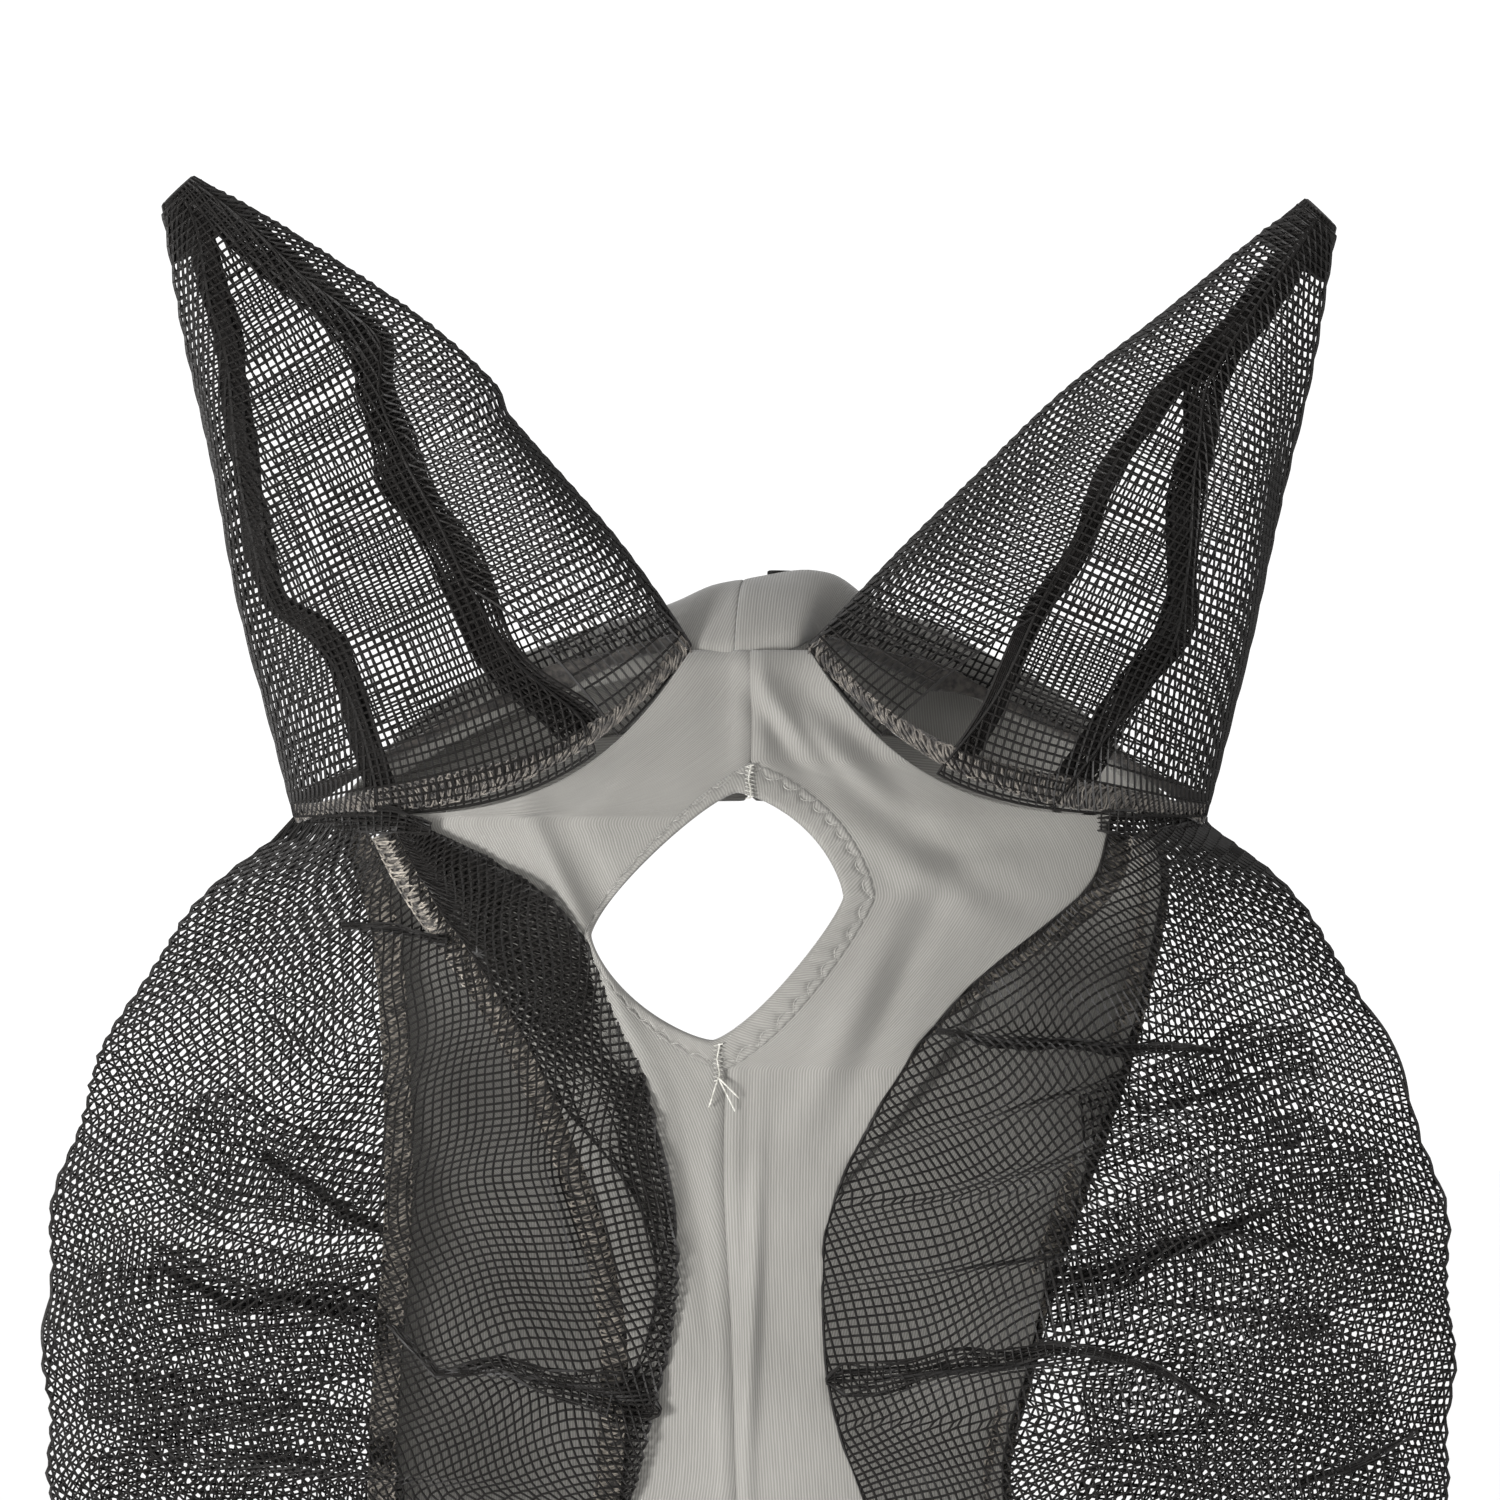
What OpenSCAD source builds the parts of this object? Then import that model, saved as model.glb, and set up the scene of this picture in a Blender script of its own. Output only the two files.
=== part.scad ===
// Stretch fly mask for a horse, with mesh eye domes and mesh ear pockets.
// +Z runs up the face to the ears, -Y is the front of the face, +X is to the right.
// The origin is the middle of the head space, level with the narrowest part of the nose strip.

/* [Hood] */
// Height of the nose edge below the origin
nose_z = -216; // [-225:1:-205]
// Thickness of the stretch fabric
lycra_t = 1.0; // [0.8:0.1:1.2]
// Thickness of the open mesh fabric
mesh_t = 0.9; // [0.7:0.1:1.1]
// Throat edge of the neck opening, measured from the origin
throat_z = 10; // [0:1:25]
// Half width of the neck opening at the cheeks
neck_half_w = 74; // [60:1:78]

/* [Eye domes] */
// Extra outward bulge of each eye dome
dome_extra = 0; // [-10:1:10]
// How far each dome puffs forward of its front seam
dome_puff = 8; // [2:1:12]

/* [Forelock hole] */
// Half width of the hole's cut edge
hole_a = 36; // [32:1:38]
// Half height of the hole's cut edge
hole_b = 40.5; // [36:0.5:41]
// Width of the binding that finishes the hole
binding_w = 6.6; // [5:0.2:8]

/* [Ears] */
// Half depth of an ear pocket at its base
ear_d0 = 35; // [30:1:38]
// Height of the ear's tip above the origin
ear_tip_z = 287; // [270:1:300]

/* [Seams] */
// Width of the overlocked seam bands
seam_w = 8; // [6:0.5:9]
// Thickness of the overlocked seam bands
seam_t = 1.6; // [1.2:0.1:2]

/* [Node] */
// Sub-part to draw, or all of them

/* [Hidden] */
lycra_grey = [0.60, 0.59, 0.56];
mesh_black = [0.07, 0.07, 0.07];
seam_brown = [0.25, 0.23, 0.21];
gap = 0.3;
// Clearance of a band that lies inside a dome's curve
inner_gap = 0.9;
// Heights where the front arms end and where the eye domes stop above the nose
arm_z = 117.24;
eye_top = 114.4;
eye_bot = -165;
// Hood stations: height, half width, front depth, rear depth
HOOD = [[-216, 100, 62, 62], [-165, 108, 70, 70], [-100, 124, 73, 74], [-40, 130, 74, 76],
    [60, 132, 74, 74], [100, 131, 69, 61], [117, 130, 66, 51], [140, 122, 56, 40], [163, 110, 46, 30]];
// Eye dome stations: height, front seam, widest point of the dome, rear seam
EYE = [[-165, 103, 109, 103], [-135, 72, 142, 94], [-100, 45, 172, 84], [-67, 33, 188, 78],
    [-40, 27, 191, 82], [-15, 26, 191, 88], [7, 29, 188, 93], [33, 40, 181, 97], [58, 54, 172, 100],
    [77, 70, 162, 103], [100, 88, 143, 106], [115, 95, 124, 108]];

// Smooth curve through a list of stations
function seg(t, z, i = 0) = (i >= len(t) - 2 || z <= t[i + 1][0]) ? i : seg(t, z, i + 1);
function slope(t, k, i) =
    let(a = max(i - 1, 0), b = min(i + 1, len(t) - 1))
    (t[b][k] - t[a][k]) / (t[b][0] - t[a][0]);
function val(t, z, k) =
    let(i = seg(t, z), h = t[i + 1][0] - t[i][0], s = (z - t[i][0]) / h)
    t[i][k] * (1 + 2 * s) * (1 - s) * (1 - s) + slope(t, k, i) * h * s * (1 - s) * (1 - s)
    + t[i + 1][k] * s * s * (3 - 2 * s) + slope(t, k, i + 1) * h * s * s * (s - 1);
function unit(v) = v / max(norm(v), 1e-9);
function mix(a, b, s) = a * (1 - s) + b * s;
function steps(a, b, n) = [for (i = [0:n]) mix(a, b, i / n)];

// Hood surface: front and rear halves of each level section
function round_off(x, z) = sqrt(max(0.0004, 1 - pow(x / val(HOOD, z, 1), 2)));
function front(x, z) = [x, -val(HOOD, z, 2) * round_off(x, z), z];
function rear(x, z) = [x, val(HOOD, z, 3) * round_off(x, z), z];
function ring(a, z) = [val(HOOD, z, 1) * cos(a), val(HOOD, z, a < 180 ? 3 : 2) * sin(a), z];

// Eye dome surface: one Bezier section per level, from the front seam (s = 0) to the rear seam
function eye_ctl(z) =
    let(a = val(EYE, z, 1), b = val(EYE, z, 3), w = val(EYE, z, 2) + dome_extra * sin(180 * (z + 165) / 280),
        wc = (8 * w - a - b) / 6, p0 = front(a, z), p3 = rear(b, z), f = min(1, (w - max(a, b)) / 60))
    [p0, [wc, p0[1] - dome_puff * f, z], [wc, p3[1] + 3 * f, z], p3];
function eye(s, z) =
    let(c = eye_ctl(z), r = 1 - s)
    c[0] * r * r * r + c[1] * 3 * r * r * s + c[2] * 3 * r * s * s + c[3] * s * s * s;
function eye_near(d, z) = let(c = eye_ctl(z)) min(0.45, d / (3 * norm(c[1] - c[0])));
function eye_far(d, z) = let(c = eye_ctl(z)) 1 - min(0.45, d / (3 * norm(c[3] - c[2])));

// Ear base: the front arc follows the front panel, the rear arc rises over the nape
ear_in = [16, -44, 163];
ear_out = [124, -6, 117];
ear_tip_in = [148, 3, ear_tip_z];
ear_tip_out = [156, 3, ear_tip_z - 8];
function base_z(x) = 117 + 46 * pow(max(0, (124 - x) / 108), 3.9);
function base_x(z) = 124 - 108 * pow(max(0, (z - 117) / 46), 1 / 3.9);
function ear_base(a) =
    let(x = mix(ear_in[0], ear_out[0], (1 + cos(a)) / 2), m = mix(ear_in, ear_out, (1 + cos(a)) / 2))
    sin(a) >= 0 ? [x, m[1] + ear_d0 * sin(a), m[2] + 8 * sin(a)]
        : [x, mix(m[1], front(x, base_z(x))[1], min(1, -1.3 * sin(a))), base_z(x)];
function ear_up(a, v) =
    let(i = mix(ear_in, ear_tip_in, v) + [-2, 0, 3] * 4 * v * (1 - v),
        o = mix(ear_out, ear_tip_out, v) + [3, 0, 0] * 4 * v * (1 - v),
        d = ear_d0 * pow(1 - v, 0.9) + 3)
    mix(i, o, (1 + cos(a)) / 2) + [0, d * sin(a), 0];
function ear(a, v) = mix(ear_base(a), ear_up(a, v), min(1, v / 0.2) * (2 - min(1, v / 0.2)));
function flex_v(a) = 0.03 + 0.13 * pow(abs(sin(a)), 1.2);

// Nape band surface: q runs from the centre to the cheek, p from the crown to the neck edge
function nape_front(q) =
    q < 0.15 ? mix([0.3, -46.5, 162.2], ear_in + [0, 0.6, 0], q / 0.15) : ear_base(180 - 165 * (q - 0.15) / 0.85);
function nape_rear(q) = [mix(0.3, 76, sin(90 * q)), 45 - 2 * q, 121.5 - 9 * (1 - cos(90 * q))];
function nape(p, q) =
    mix(nape_front(q), nape_rear(q), p)
    + 4 * p * (1 - p) * (3 + 35 * pow(cos(90 * q), 0.8)) * unit([0.8 * sin(70 * q), 0.12, cos(70 * q)]);
function nape_p(d) = d / 100;

// Neck opening on the jaw panel, and forelock hole on the front panel
function neck_x(z, w = 0) =
    (neck_half_w + w) * pow(max(0, (z - throat_z + w) / (108 - throat_z + w)), 0.67);
function hole_x(z, a, b) = a * pow(max(0, 1 - pow(abs(z - 90.5) / b, 1.35)), 1 / 1.35);
function hole_pt(t, a, b) =
    let(c = cos(t), s = sin(t), r = pow(pow(abs(c) / a, 1.35) + pow(abs(s) / b, 1.35), -1 / 1.35))
    front(r * c, 90.5 + r * s);

// Closed solid skin from a grid of points, between two offsets along its own normals
module skin(P, hi, lo, loop = false) {
    n = len(P);
    m = len(P[0]);
    function at(i) = loop ? (i + n) % n : min(max(i, 0), n - 1);
    N = [for (i = [0:n - 1]) [for (j = [0:m - 1])
        unit(cross(P[at(i + 1)][j] - P[at(i - 1)][j], P[i][min(j + 1, m - 1)] - P[i][max(j - 1, 0)]))]];
    pts = concat(
        [for (i = [0:n - 1], j = [0:m - 1]) P[i][j] + N[i][j] * hi],
        [for (i = [0:n - 1], j = [0:m - 1]) P[i][j] + N[i][j] * lo]);
    k = n * m;
    last = loop ? n - 1 : n - 2;
    function id(i, j) = (i % n) * m + j;
    faces = concat(
        [for (i = [0:last], j = [0:m - 2]) [id(i, j), id(i, j + 1), id(i + 1, j + 1)]],
        [for (i = [0:last], j = [0:m - 2]) [id(i, j), id(i + 1, j + 1), id(i + 1, j)]],
        [for (i = [0:last], j = [0:m - 2]) [k + id(i, j), k + id(i + 1, j + 1), k + id(i, j + 1)]],
        [for (i = [0:last], j = [0:m - 2]) [k + id(i, j), k + id(i + 1, j), k + id(i + 1, j + 1)]],
        [for (i = [0:last]) each side(id(i, 0), id(i + 1, 0), k)],
        [for (i = [0:last]) each side(id(i + 1, m - 1), id(i, m - 1), k)],
        loop ? [] : [for (j = [0:m - 2]) each side(id(0, j + 1), id(0, j), k)],
        loop ? [] : [for (j = [0:m - 2]) each side(id(n - 1, j), id(n - 1, j + 1), k)]);
    polyhedron(pts, faces, convexity = 8);
}
function side(a, b, k) = [[a, b, k + b], [a, k + b, k + a]];
module both() {
    children();
    mirror([1, 0, 0]) children();
}

// Front panel half, from the nose edge to the crown, cut out around the forelock hole
function front_rows() = concat(steps(nose_z, eye_bot - 0.6, 3), steps(eye_bot + 1.5, 40, 17), steps(50.2, 88, 8),
    steps(92, 113, 5), [arm_z], [for (i = [1:12]) arm_z + (162.4 - arm_z) * pow(i / 12, 2.2)]);
function front_in(z) = abs(z - 90.5) < hole_b ? max(gap, hole_x(z, hole_a, hole_b)) : gap;
function front_out(z) =
    z < eye_bot + 1 ? val(HOOD, z, 1) * cos(0.3)
    : z < 116 ? val(EYE, z, 1) - gap : min(95.5, base_x(z)) - 1;
function turn(x, z) = asin(min(1, x / val(HOOD, z, 1)));
function across(a, b, z, t) = val(HOOD, z, 1) * sin(mix(turn(a, z), turn(b, z), t));
module front_half() {
    color(lycra_grey)
    skin([for (z = front_rows()) [for (t = steps(0, 1, 7)) front(across(front_in(z), front_out(z), z, t), z)]],
        lycra_t, 0);
}

// Jaw panel half, with the cheek arm beside the neck opening
function jaw_rows() = concat(steps(nose_z, eye_bot - 0.6, 3), steps(eye_bot + 1.5, throat_z - 4, 12),
    [for (i = [0:14]) throat_z + (111 - throat_z) * pow(i / 14, 1.5)]);
function jaw_out(z) = z < eye_bot + 1 ? val(HOOD, z, 1) * cos(0.3) : val(EYE, z, 3) - gap;
module jaw_half() {
    color(lycra_grey)
    skin([for (z = jaw_rows()) [for (t = steps(0, 1, 6))
        rear(across(z > throat_z ? max(gap, neck_x(z)) : gap, jaw_out(z), z, t), z)]], 0, -lycra_t);
}

// Nape band half, over the poll behind the ears; it starts clear of the bending base of the ear
function nape_start(q) = mix(0.02, 0.1, min(1, max(0, q - 0.1) / 0.4));
module nape_half() {
    color(lycra_grey)
    skin([for (q = steps(0, 0.985, 14)) [for (p = steps(nape_start(q), 1, 8)) nape(p, q)]], lycra_t, 0);
}

// Eye dome of open mesh
module eye_half() {
    color(mesh_black)
    skin([for (z = steps(eye_bot + 2, eye_top, 26)) [for (s = steps(0, 1, 22))
        eye(mix(eye_near(0.6, z), eye_far(0.6, z), s), z)]], mesh_t, 0);
}

// Overlocked seam bands inside the dome, along its front and rear edges
module eye_seam(rear_edge = false) {
    color(seam_brown)
    skin([for (z = steps(eye_bot + 14, eye_top - 3, 26)) [for (t = [0, 1])
        let(d = mix(2, 2 + seam_w, rear_edge ? 1 - t : t)) eye(rear_edge ? eye_far(d, z) : eye_near(d, z), z)]],
        mesh_t + inner_gap + seam_t, mesh_t + inner_gap);
}

// Sewn dart that gathers the dome at a seam
module eye_dart(rear_edge = false) {
    z0 = rear_edge ? -20 : -47;
    z1 = rear_edge ? 6 : -27;
    far = rear_edge ? 66 : 78;
    color(mesh_black)
    skin([for (t = steps(0, 1, 8)) [for (u = [-1, 1])
        let(d = mix(seam_w + 4, far, t), z = mix(z0, z1, t) + u * mix(4, 1.4, t))
        eye(rear_edge ? eye_far(d, z) : eye_near(d, z), z)]],
        rear_edge ? mesh_t + inner_gap + seam_t : -mesh_t - inner_gap,
        rear_edge ? mesh_t + inner_gap : -mesh_t - inner_gap - seam_t);
}

// Binding, zigzag stitching and bartacks of the forelock hole
module forelock_binding() {
    color(lycra_grey)
    skin([for (t = [0:6:354]) [for (w = [binding_w, 3.4, 0.7]) hole_pt(t, hole_a - w, hole_b - w)]],
        lycra_t + 0.6, -0.6, loop = true);
}
module forelock_zigzag_stitch() {
    color(lycra_grey)
    for (i = [0:71]) {
        t = 5 * i + 2.5;
        on_bartack = abs(t - 90) < 5 || abs(t - 270) < 5;
        w = i % 2 == 0 ? 5.4 : 3.2;
        p = hole_pt(t, hole_a - w, hole_b - w);
        if (!on_bartack) translate(p + [0, -1.25, 0])
            rotate([0, t + (i % 2 == 0 ? 40 : -40), 0])
                cube([0.6, 0.5, 2.2], center = true);
    }
}
module bartack(z) {
    lean = atan((front(0, z + 4)[1] - front(0, z - 4)[1]) / 8);
    color([0.78, 0.77, 0.74])
    translate(front(0, z) + [0, -2.1, 0])
        rotate([-lean, 0, 0]) cube([2.6, 0.8, 9], center = true);
}

// Centre seam bands of the front, nape and jaw
module front_centre_seam(z0, z1) {
    color(lycra_grey)
    skin([for (z = steps(z0, z1, 8)) [for (x = [-3.5, 0, 3.5]) front(x, z)]],
        lycra_t + gap + 1.2, lycra_t + gap);
}
module nape_centre_seam() {
    color(lycra_grey)
    skin([for (p = steps(0.16, 0.86, 8)) [for (x = [3.5, 0, -3.5])
        let(c = nape(p, abs(x) / 106)) [x, c[1], c[2]]]], -inner_gap, -inner_gap - 1.2);
}
module jaw_centre_seam() {
    color(lycra_grey)
    skin([for (z = steps(nose_z + 20, throat_z - 14, 8)) [for (x = [3.5, 0, -3.5]) rear(x, z)]],
        lycra_t + gap + 1.2, lycra_t + gap);
}
// Seam under the crown fold, where the front panel meets the nape band
module crown_seam() {
    color(lycra_grey)
    skin([for (x = steps(-13, 13, 6)) [for (z = [152, 159]) front(x, z)]],
        -lycra_t - 1.5 * gap, -lycra_t - 1.5 * gap - 1.2);
}
module nape_side_seam() {
    color(lycra_grey)
    skin([for (q = [0.9, 0.96]) [for (p = steps(0.16, 0.8, 6)) nape(p, q)]], -inner_gap, -inner_gap - 1.2);
}
module nose_side_seam() {
    color(lycra_grey)
    skin([for (z = steps(nose_z + 20, eye_bot - 4, 4)) [for (a = [-3, 3])
        let(s = 1 - 3.4 / 100) [ring(0, z)[0] * s, a, z]]], 0, -1.2);
}

// Hems and the elastics inside them
module nose_band(z0, z1, r) {
    skin([for (a = [0:8:352]) [for (z = [z0, z1])
        let(p = ring(a, z), s = 1 - r / 90) [p[0] * s, p[1] * s, z]]], 0, -0.8, loop = true);
}
module nose_hem() {
    color(lycra_grey) nose_band(nose_z + 0.5, nose_z + 17, 3.9);
}
module nose_elastic() {
    color([0.16, 0.16, 0.16]) nose_band(nose_z + 3, nose_z + 15, 2.2);
}
module neck_band(w0, w1, hi, lo) {
    both() {
        skin([for (t = steps(0.02, 0.98, 16)) [for (w = [w0, w1])
            let(z = mix(108, throat_z - w, pow(t, 0.8))) rear(max(0.4, neck_x(z, w)), z)]],
            lycra_t + hi, lycra_t + lo);
        skin([for (q = steps(0, 0.95, 12)) [for (p = [1 - nape_p(w1), 1 - nape_p(w0)]) nape(p, q)]], -lo, -hi);
    }
}
module neck_hem() {
    color(lycra_grey) neck_band(0.5, 13, 2.9, 2.1);
}
module neck_elastic() {
    color([0.16, 0.16, 0.16]) neck_band(2, 11, 1.5, 0.6);
}
module care_label() {
    color([0.06, 0.06, 0.06])
    skin([for (q = [0.03, 0.07, 0.11]) [for (p = [0.42, 0.5, 0.58]) nape(p, q)]],
        lycra_t + 3 * gap + 0.8, lycra_t + 3 * gap);
}

// Ear pocket: base seam, flexing mesh at the base, front and back mesh, inner seams and tip
module ear_base_seam() {
    color(seam_brown)
    skin([for (a = [0:8:352]) [for (v = [0.014, 0.044]) ear(a, v)]], -inner_gap, -inner_gap - seam_t, loop = true);
}
module ear_flex_mesh() {
    color(mesh_black)
    skin([for (a = [0:8:352]) [for (t = [0, 0.15, 0.35, 0.65, 1]) ear(a, mix(0.008, flex_v(a), t))]],
        mesh_t, 0, loop = true);
}
module ear_sheet(a0, a1, n) {
    color(mesh_black)
    skin([for (a = steps(a0, a1, n)) [for (t = steps(0, 1, 12)) ear(a, mix(flex_v(a) + 0.004, 0.962, t))]],
        mesh_t, 0);
}
module ear_front_mesh() {
    ear_sheet(249.4, 313.6, 5);
}
module ear_back_mesh() {
    ear_sheet(-46, 249, 22);
}
function ear_rate(a, v) = norm(ear(a + 1, v) - ear(a - 1, v)) / 2;
module ear_seam(a0) {
    color(mesh_black)
    skin([for (t = steps(0, 1, 14)) let(v = mix(flex_v(a0) + 0.01, 0.93, t), h = mix(seam_w, 4, t) / 2)
        [for (u = [1, -1]) ear(a0 + u * min(20, h / ear_rate(a0, v)), v)]], -gap, -gap - seam_t);
}
module ear_tip_fold() {
    color(mesh_black)
    translate([151.2, 3, ear_tip_z - 4.6])
        rotate([0, 135, 0]) {
            cylinder(r = 3.4, h = 9, center = true, $fn = 32);
            for (z = [-4.5, 4.5]) translate([0, 0, z]) sphere(r = 3.4, $fn = 32);
        }
}

front_half();  // front_panel_right
mirror([1, 0, 0]) front_half();  // front_panel_left
jaw_half();  // jaw_panel_right
mirror([1, 0, 0]) jaw_half();  // jaw_panel_left
nape_half();  // nape_panel_right
mirror([1, 0, 0]) nape_half();  // nape_panel_left
eye_half();  // eye_mesh_right
mirror([1, 0, 0]) eye_half();  // eye_mesh_left
eye_seam();  // eye_front_seam_right
mirror([1, 0, 0]) eye_seam();  // eye_front_seam_left
eye_seam(true);  // eye_rear_seam_right
mirror([1, 0, 0]) eye_seam(true);  // eye_rear_seam_left
eye_dart();  // eye_front_dart_right
mirror([1, 0, 0]) eye_dart();  // eye_front_dart_left
eye_dart(true);  // eye_rear_dart_right
mirror([1, 0, 0]) eye_dart(true);  // eye_rear_dart_left
forelock_binding();
forelock_zigzag_stitch();
bartack(128);  // bartack_top
bartack(50);  // bartack_bottom
front_centre_seam(133, 150);  // front_centre_seam_upper
front_centre_seam(nose_z + 20, 46);  // front_centre_seam_lower
nape_centre_seam();
jaw_centre_seam();
crown_seam();
nape_side_seam();  // nape_side_seam_right
mirror([1, 0, 0]) nape_side_seam();  // nape_side_seam_left
nose_side_seam();  // nose_side_seam_right
mirror([1, 0, 0]) nose_side_seam();  // nose_side_seam_left
neck_hem();
neck_elastic();
nose_hem();
nose_elastic();
care_label();
ear_base_seam();  // ear_base_seam_right
mirror([1, 0, 0]) ear_base_seam();  // ear_base_seam_left
ear_flex_mesh();  // ear_flex_mesh_right
mirror([1, 0, 0]) ear_flex_mesh();  // ear_flex_mesh_left
ear_front_mesh();  // ear_front_mesh_right
mirror([1, 0, 0]) ear_front_mesh();  // ear_front_mesh_left
ear_back_mesh();  // ear_back_mesh_right
mirror([1, 0, 0]) ear_back_mesh();  // ear_back_mesh_left
ear_seam(249.2);  // ear_inner_seam_right
mirror([1, 0, 0]) ear_seam(249.2);  // ear_inner_seam_left
ear_seam(313.8);  // ear_outer_seam_right
mirror([1, 0, 0]) ear_seam(313.8);  // ear_outer_seam_left
ear_tip_fold();  // ear_tip_fold_right
mirror([1, 0, 0]) ear_tip_fold();  // ear_tip_fold_left
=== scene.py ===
# %% [markdown]
# # A stretch fly mask for a horse
# The mask is sewn from two cloths: a ribbed stretch fabric that hugs the face, and a black open mesh
# that stands clear of the eyes and ears. The CAD frame already holds every seam line and size. Here
# each cloth gets its real look: threads that are really there, panels with rolled edges, and stitching.

# %% Load the frame
import math

import bmesh
import bpy
import numpy as np
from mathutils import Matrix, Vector


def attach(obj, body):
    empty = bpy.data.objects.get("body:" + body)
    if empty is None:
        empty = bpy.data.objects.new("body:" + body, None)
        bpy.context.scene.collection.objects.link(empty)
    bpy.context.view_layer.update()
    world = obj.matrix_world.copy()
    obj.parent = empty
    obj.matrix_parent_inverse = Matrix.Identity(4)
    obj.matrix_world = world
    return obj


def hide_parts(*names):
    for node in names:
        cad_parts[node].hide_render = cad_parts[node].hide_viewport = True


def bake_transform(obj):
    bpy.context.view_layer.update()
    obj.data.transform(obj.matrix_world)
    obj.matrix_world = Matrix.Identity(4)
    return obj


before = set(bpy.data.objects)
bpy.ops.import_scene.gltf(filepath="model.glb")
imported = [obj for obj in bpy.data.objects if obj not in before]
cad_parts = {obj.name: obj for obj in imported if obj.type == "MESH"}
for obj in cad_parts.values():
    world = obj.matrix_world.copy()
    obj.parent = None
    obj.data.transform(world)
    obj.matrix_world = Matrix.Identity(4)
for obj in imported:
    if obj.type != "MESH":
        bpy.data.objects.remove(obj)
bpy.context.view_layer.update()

# %% [markdown]
# ## The pattern's driving lines
# A pattern cutter works from a few heights up the face, and draws smooth curves through them. These
# are in millimetres: how wide and deep the hood is at each height, where the eye domes are sewn in, and
# how far they stand out. The hood's stations are those of the CAD part, whose two sides are the same.
# Soft cloth hangs a little differently on each side, so here each side has its own seam lines.

# %% Stations up the face
HOOD = [(-216, 100, 62, 62), (-165, 108, 70, 70), (-100, 124, 73, 74), (-40, 130, 74, 76),
        (60, 132, 74, 74), (100, 131, 69, 61), (117, 130, 66, 51), (140, 122, 56, 40), (163, 110, 46, 30)]
DOME_WIDTH = [(-165, 109), (-135, 142), (-100, 172), (-67, 188), (-40, 191), (-15, 191), (7, 188),
              (33, 181), (58, 172), (77, 162), (100, 143), (115, 124)]
FRONT_SEAM = {1: [(-165, 103), (-135, 72), (-100, 45), (-67, 31), (-40, 22), (-8, 19.5), (13, 22), (40, 35),
                  (62, 50), (76, 64), (98, 91), (115, 97)],
              -1: [(-165, 103), (-135, 72), (-100, 46), (-67, 35), (-40, 33), (-21, 33), (0, 37), (27, 46),
                   (54, 58), (78, 73), (98, 87), (115, 96)]}
REAR_SEAM = {1: [(-165, 103), (-135, 92), (-100, 78), (-67, 70), (-35, 77), (-13, 82), (16, 92), (49, 103),
                 (78, 110), (100, 113), (115, 110)],
             -1: [(-165, 103), (-135, 99), (-100, 98), (-67, 98), (-40, 97), (0, 94), (45, 94), (85, 97),
                  (100, 101), (115, 106)]}
# How far the left dome's mesh rolls over the front panel before it turns back
ROLL = {1: [(-165, 0.0), (115, 0.0)],
        -1: [(-165, 0), (-90, 0), (-67, 3), (-40, 8), (-19, 13), (8, 20), (43, 26), (65, 31), (93, 32),
             (107, 20), (115, 8)]}
CENTRE_DRIFT = [(-216, 0), (-150, 0), (-67, -3.5), (-20, -5), (20, -7), (50, -6.5), (90, -5.5), (128, 0),
                (165, 0)]
ARM_Z, EYE_TOP, EYE_BOTTOM, NOSE_Z, THROAT_Z = 117.24, 116.6, -163.0, -216.0, 10.0
HOLE_Z, NECK_HALF_W = 90.5, 74.0


def along(stations, z, k=1):
    """Smooth value at height z through a list of stations."""
    at = np.array([row[0] for row in stations], float)
    value = np.array([row[k] for row in stations], float)
    lean = np.empty_like(value)
    lean[1:-1] = (value[2:] - value[:-2]) / (at[2:] - at[:-2])
    lean[0] = (value[1] - value[0]) / (at[1] - at[0])
    lean[-1] = (value[-1] - value[-2]) / (at[-1] - at[-2])
    z = np.clip(z, at[0], at[-1])
    i = np.clip(np.searchsorted(at, z, side="right") - 1, 0, len(at) - 2)
    h = at[i + 1] - at[i]
    s = (z - at[i]) / h
    return (value[i] * (1 + 2 * s) * (1 - s) ** 2 + lean[i] * h * s * (1 - s) ** 2
            + value[i + 1] * s * s * (3 - 2 * s) + lean[i + 1] * h * s * s * (s - 1))


def running(path):
    """Running length along a line of points, from 0 at its first."""
    return np.concatenate([[0], np.cumsum(np.linalg.norm(np.diff(path, axis=0), axis=1))])


def pick(at, run, path):
    """The points of a line at some running lengths."""
    return np.column_stack([np.interp(at, run, path[:, k]) for k in range(path.shape[1])])


def front_y(x, z):
    return -along(HOOD, z, 2) * np.sqrt(np.maximum(0.0004, 1 - (x / along(HOOD, z, 1)) ** 2))


def rear_y(x, z):
    return along(HOOD, z, 3) * np.sqrt(np.maximum(0.0004, 1 - (x / along(HOOD, z, 1)) ** 2))


def hill(d, width):
    """A soft bump, 1 at d = 0."""
    return np.exp(-(d / width) ** 2)


def from_line(x, z, a, b):
    """Distance from the line a-b, and how far along it (0 to 1), for points in the front view."""
    run = np.array(b, float) - np.array(a, float)
    size = np.hypot(*run)
    t = ((x - a[0]) * run[0] + (z - a[1]) * run[1]) / size ** 2
    d = ((x - a[0]) * run[1] - (z - a[1]) * run[0]) / size
    return d, t


# %% [markdown]
# ## Camera, light and ground
# The mask is seen square from the front, from far enough away that it is drawn with almost no
# perspective. A pale even sky does most of the work, as in a white light tent, and one large soft
# lamp low on the left gives the folds their shape.

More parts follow.
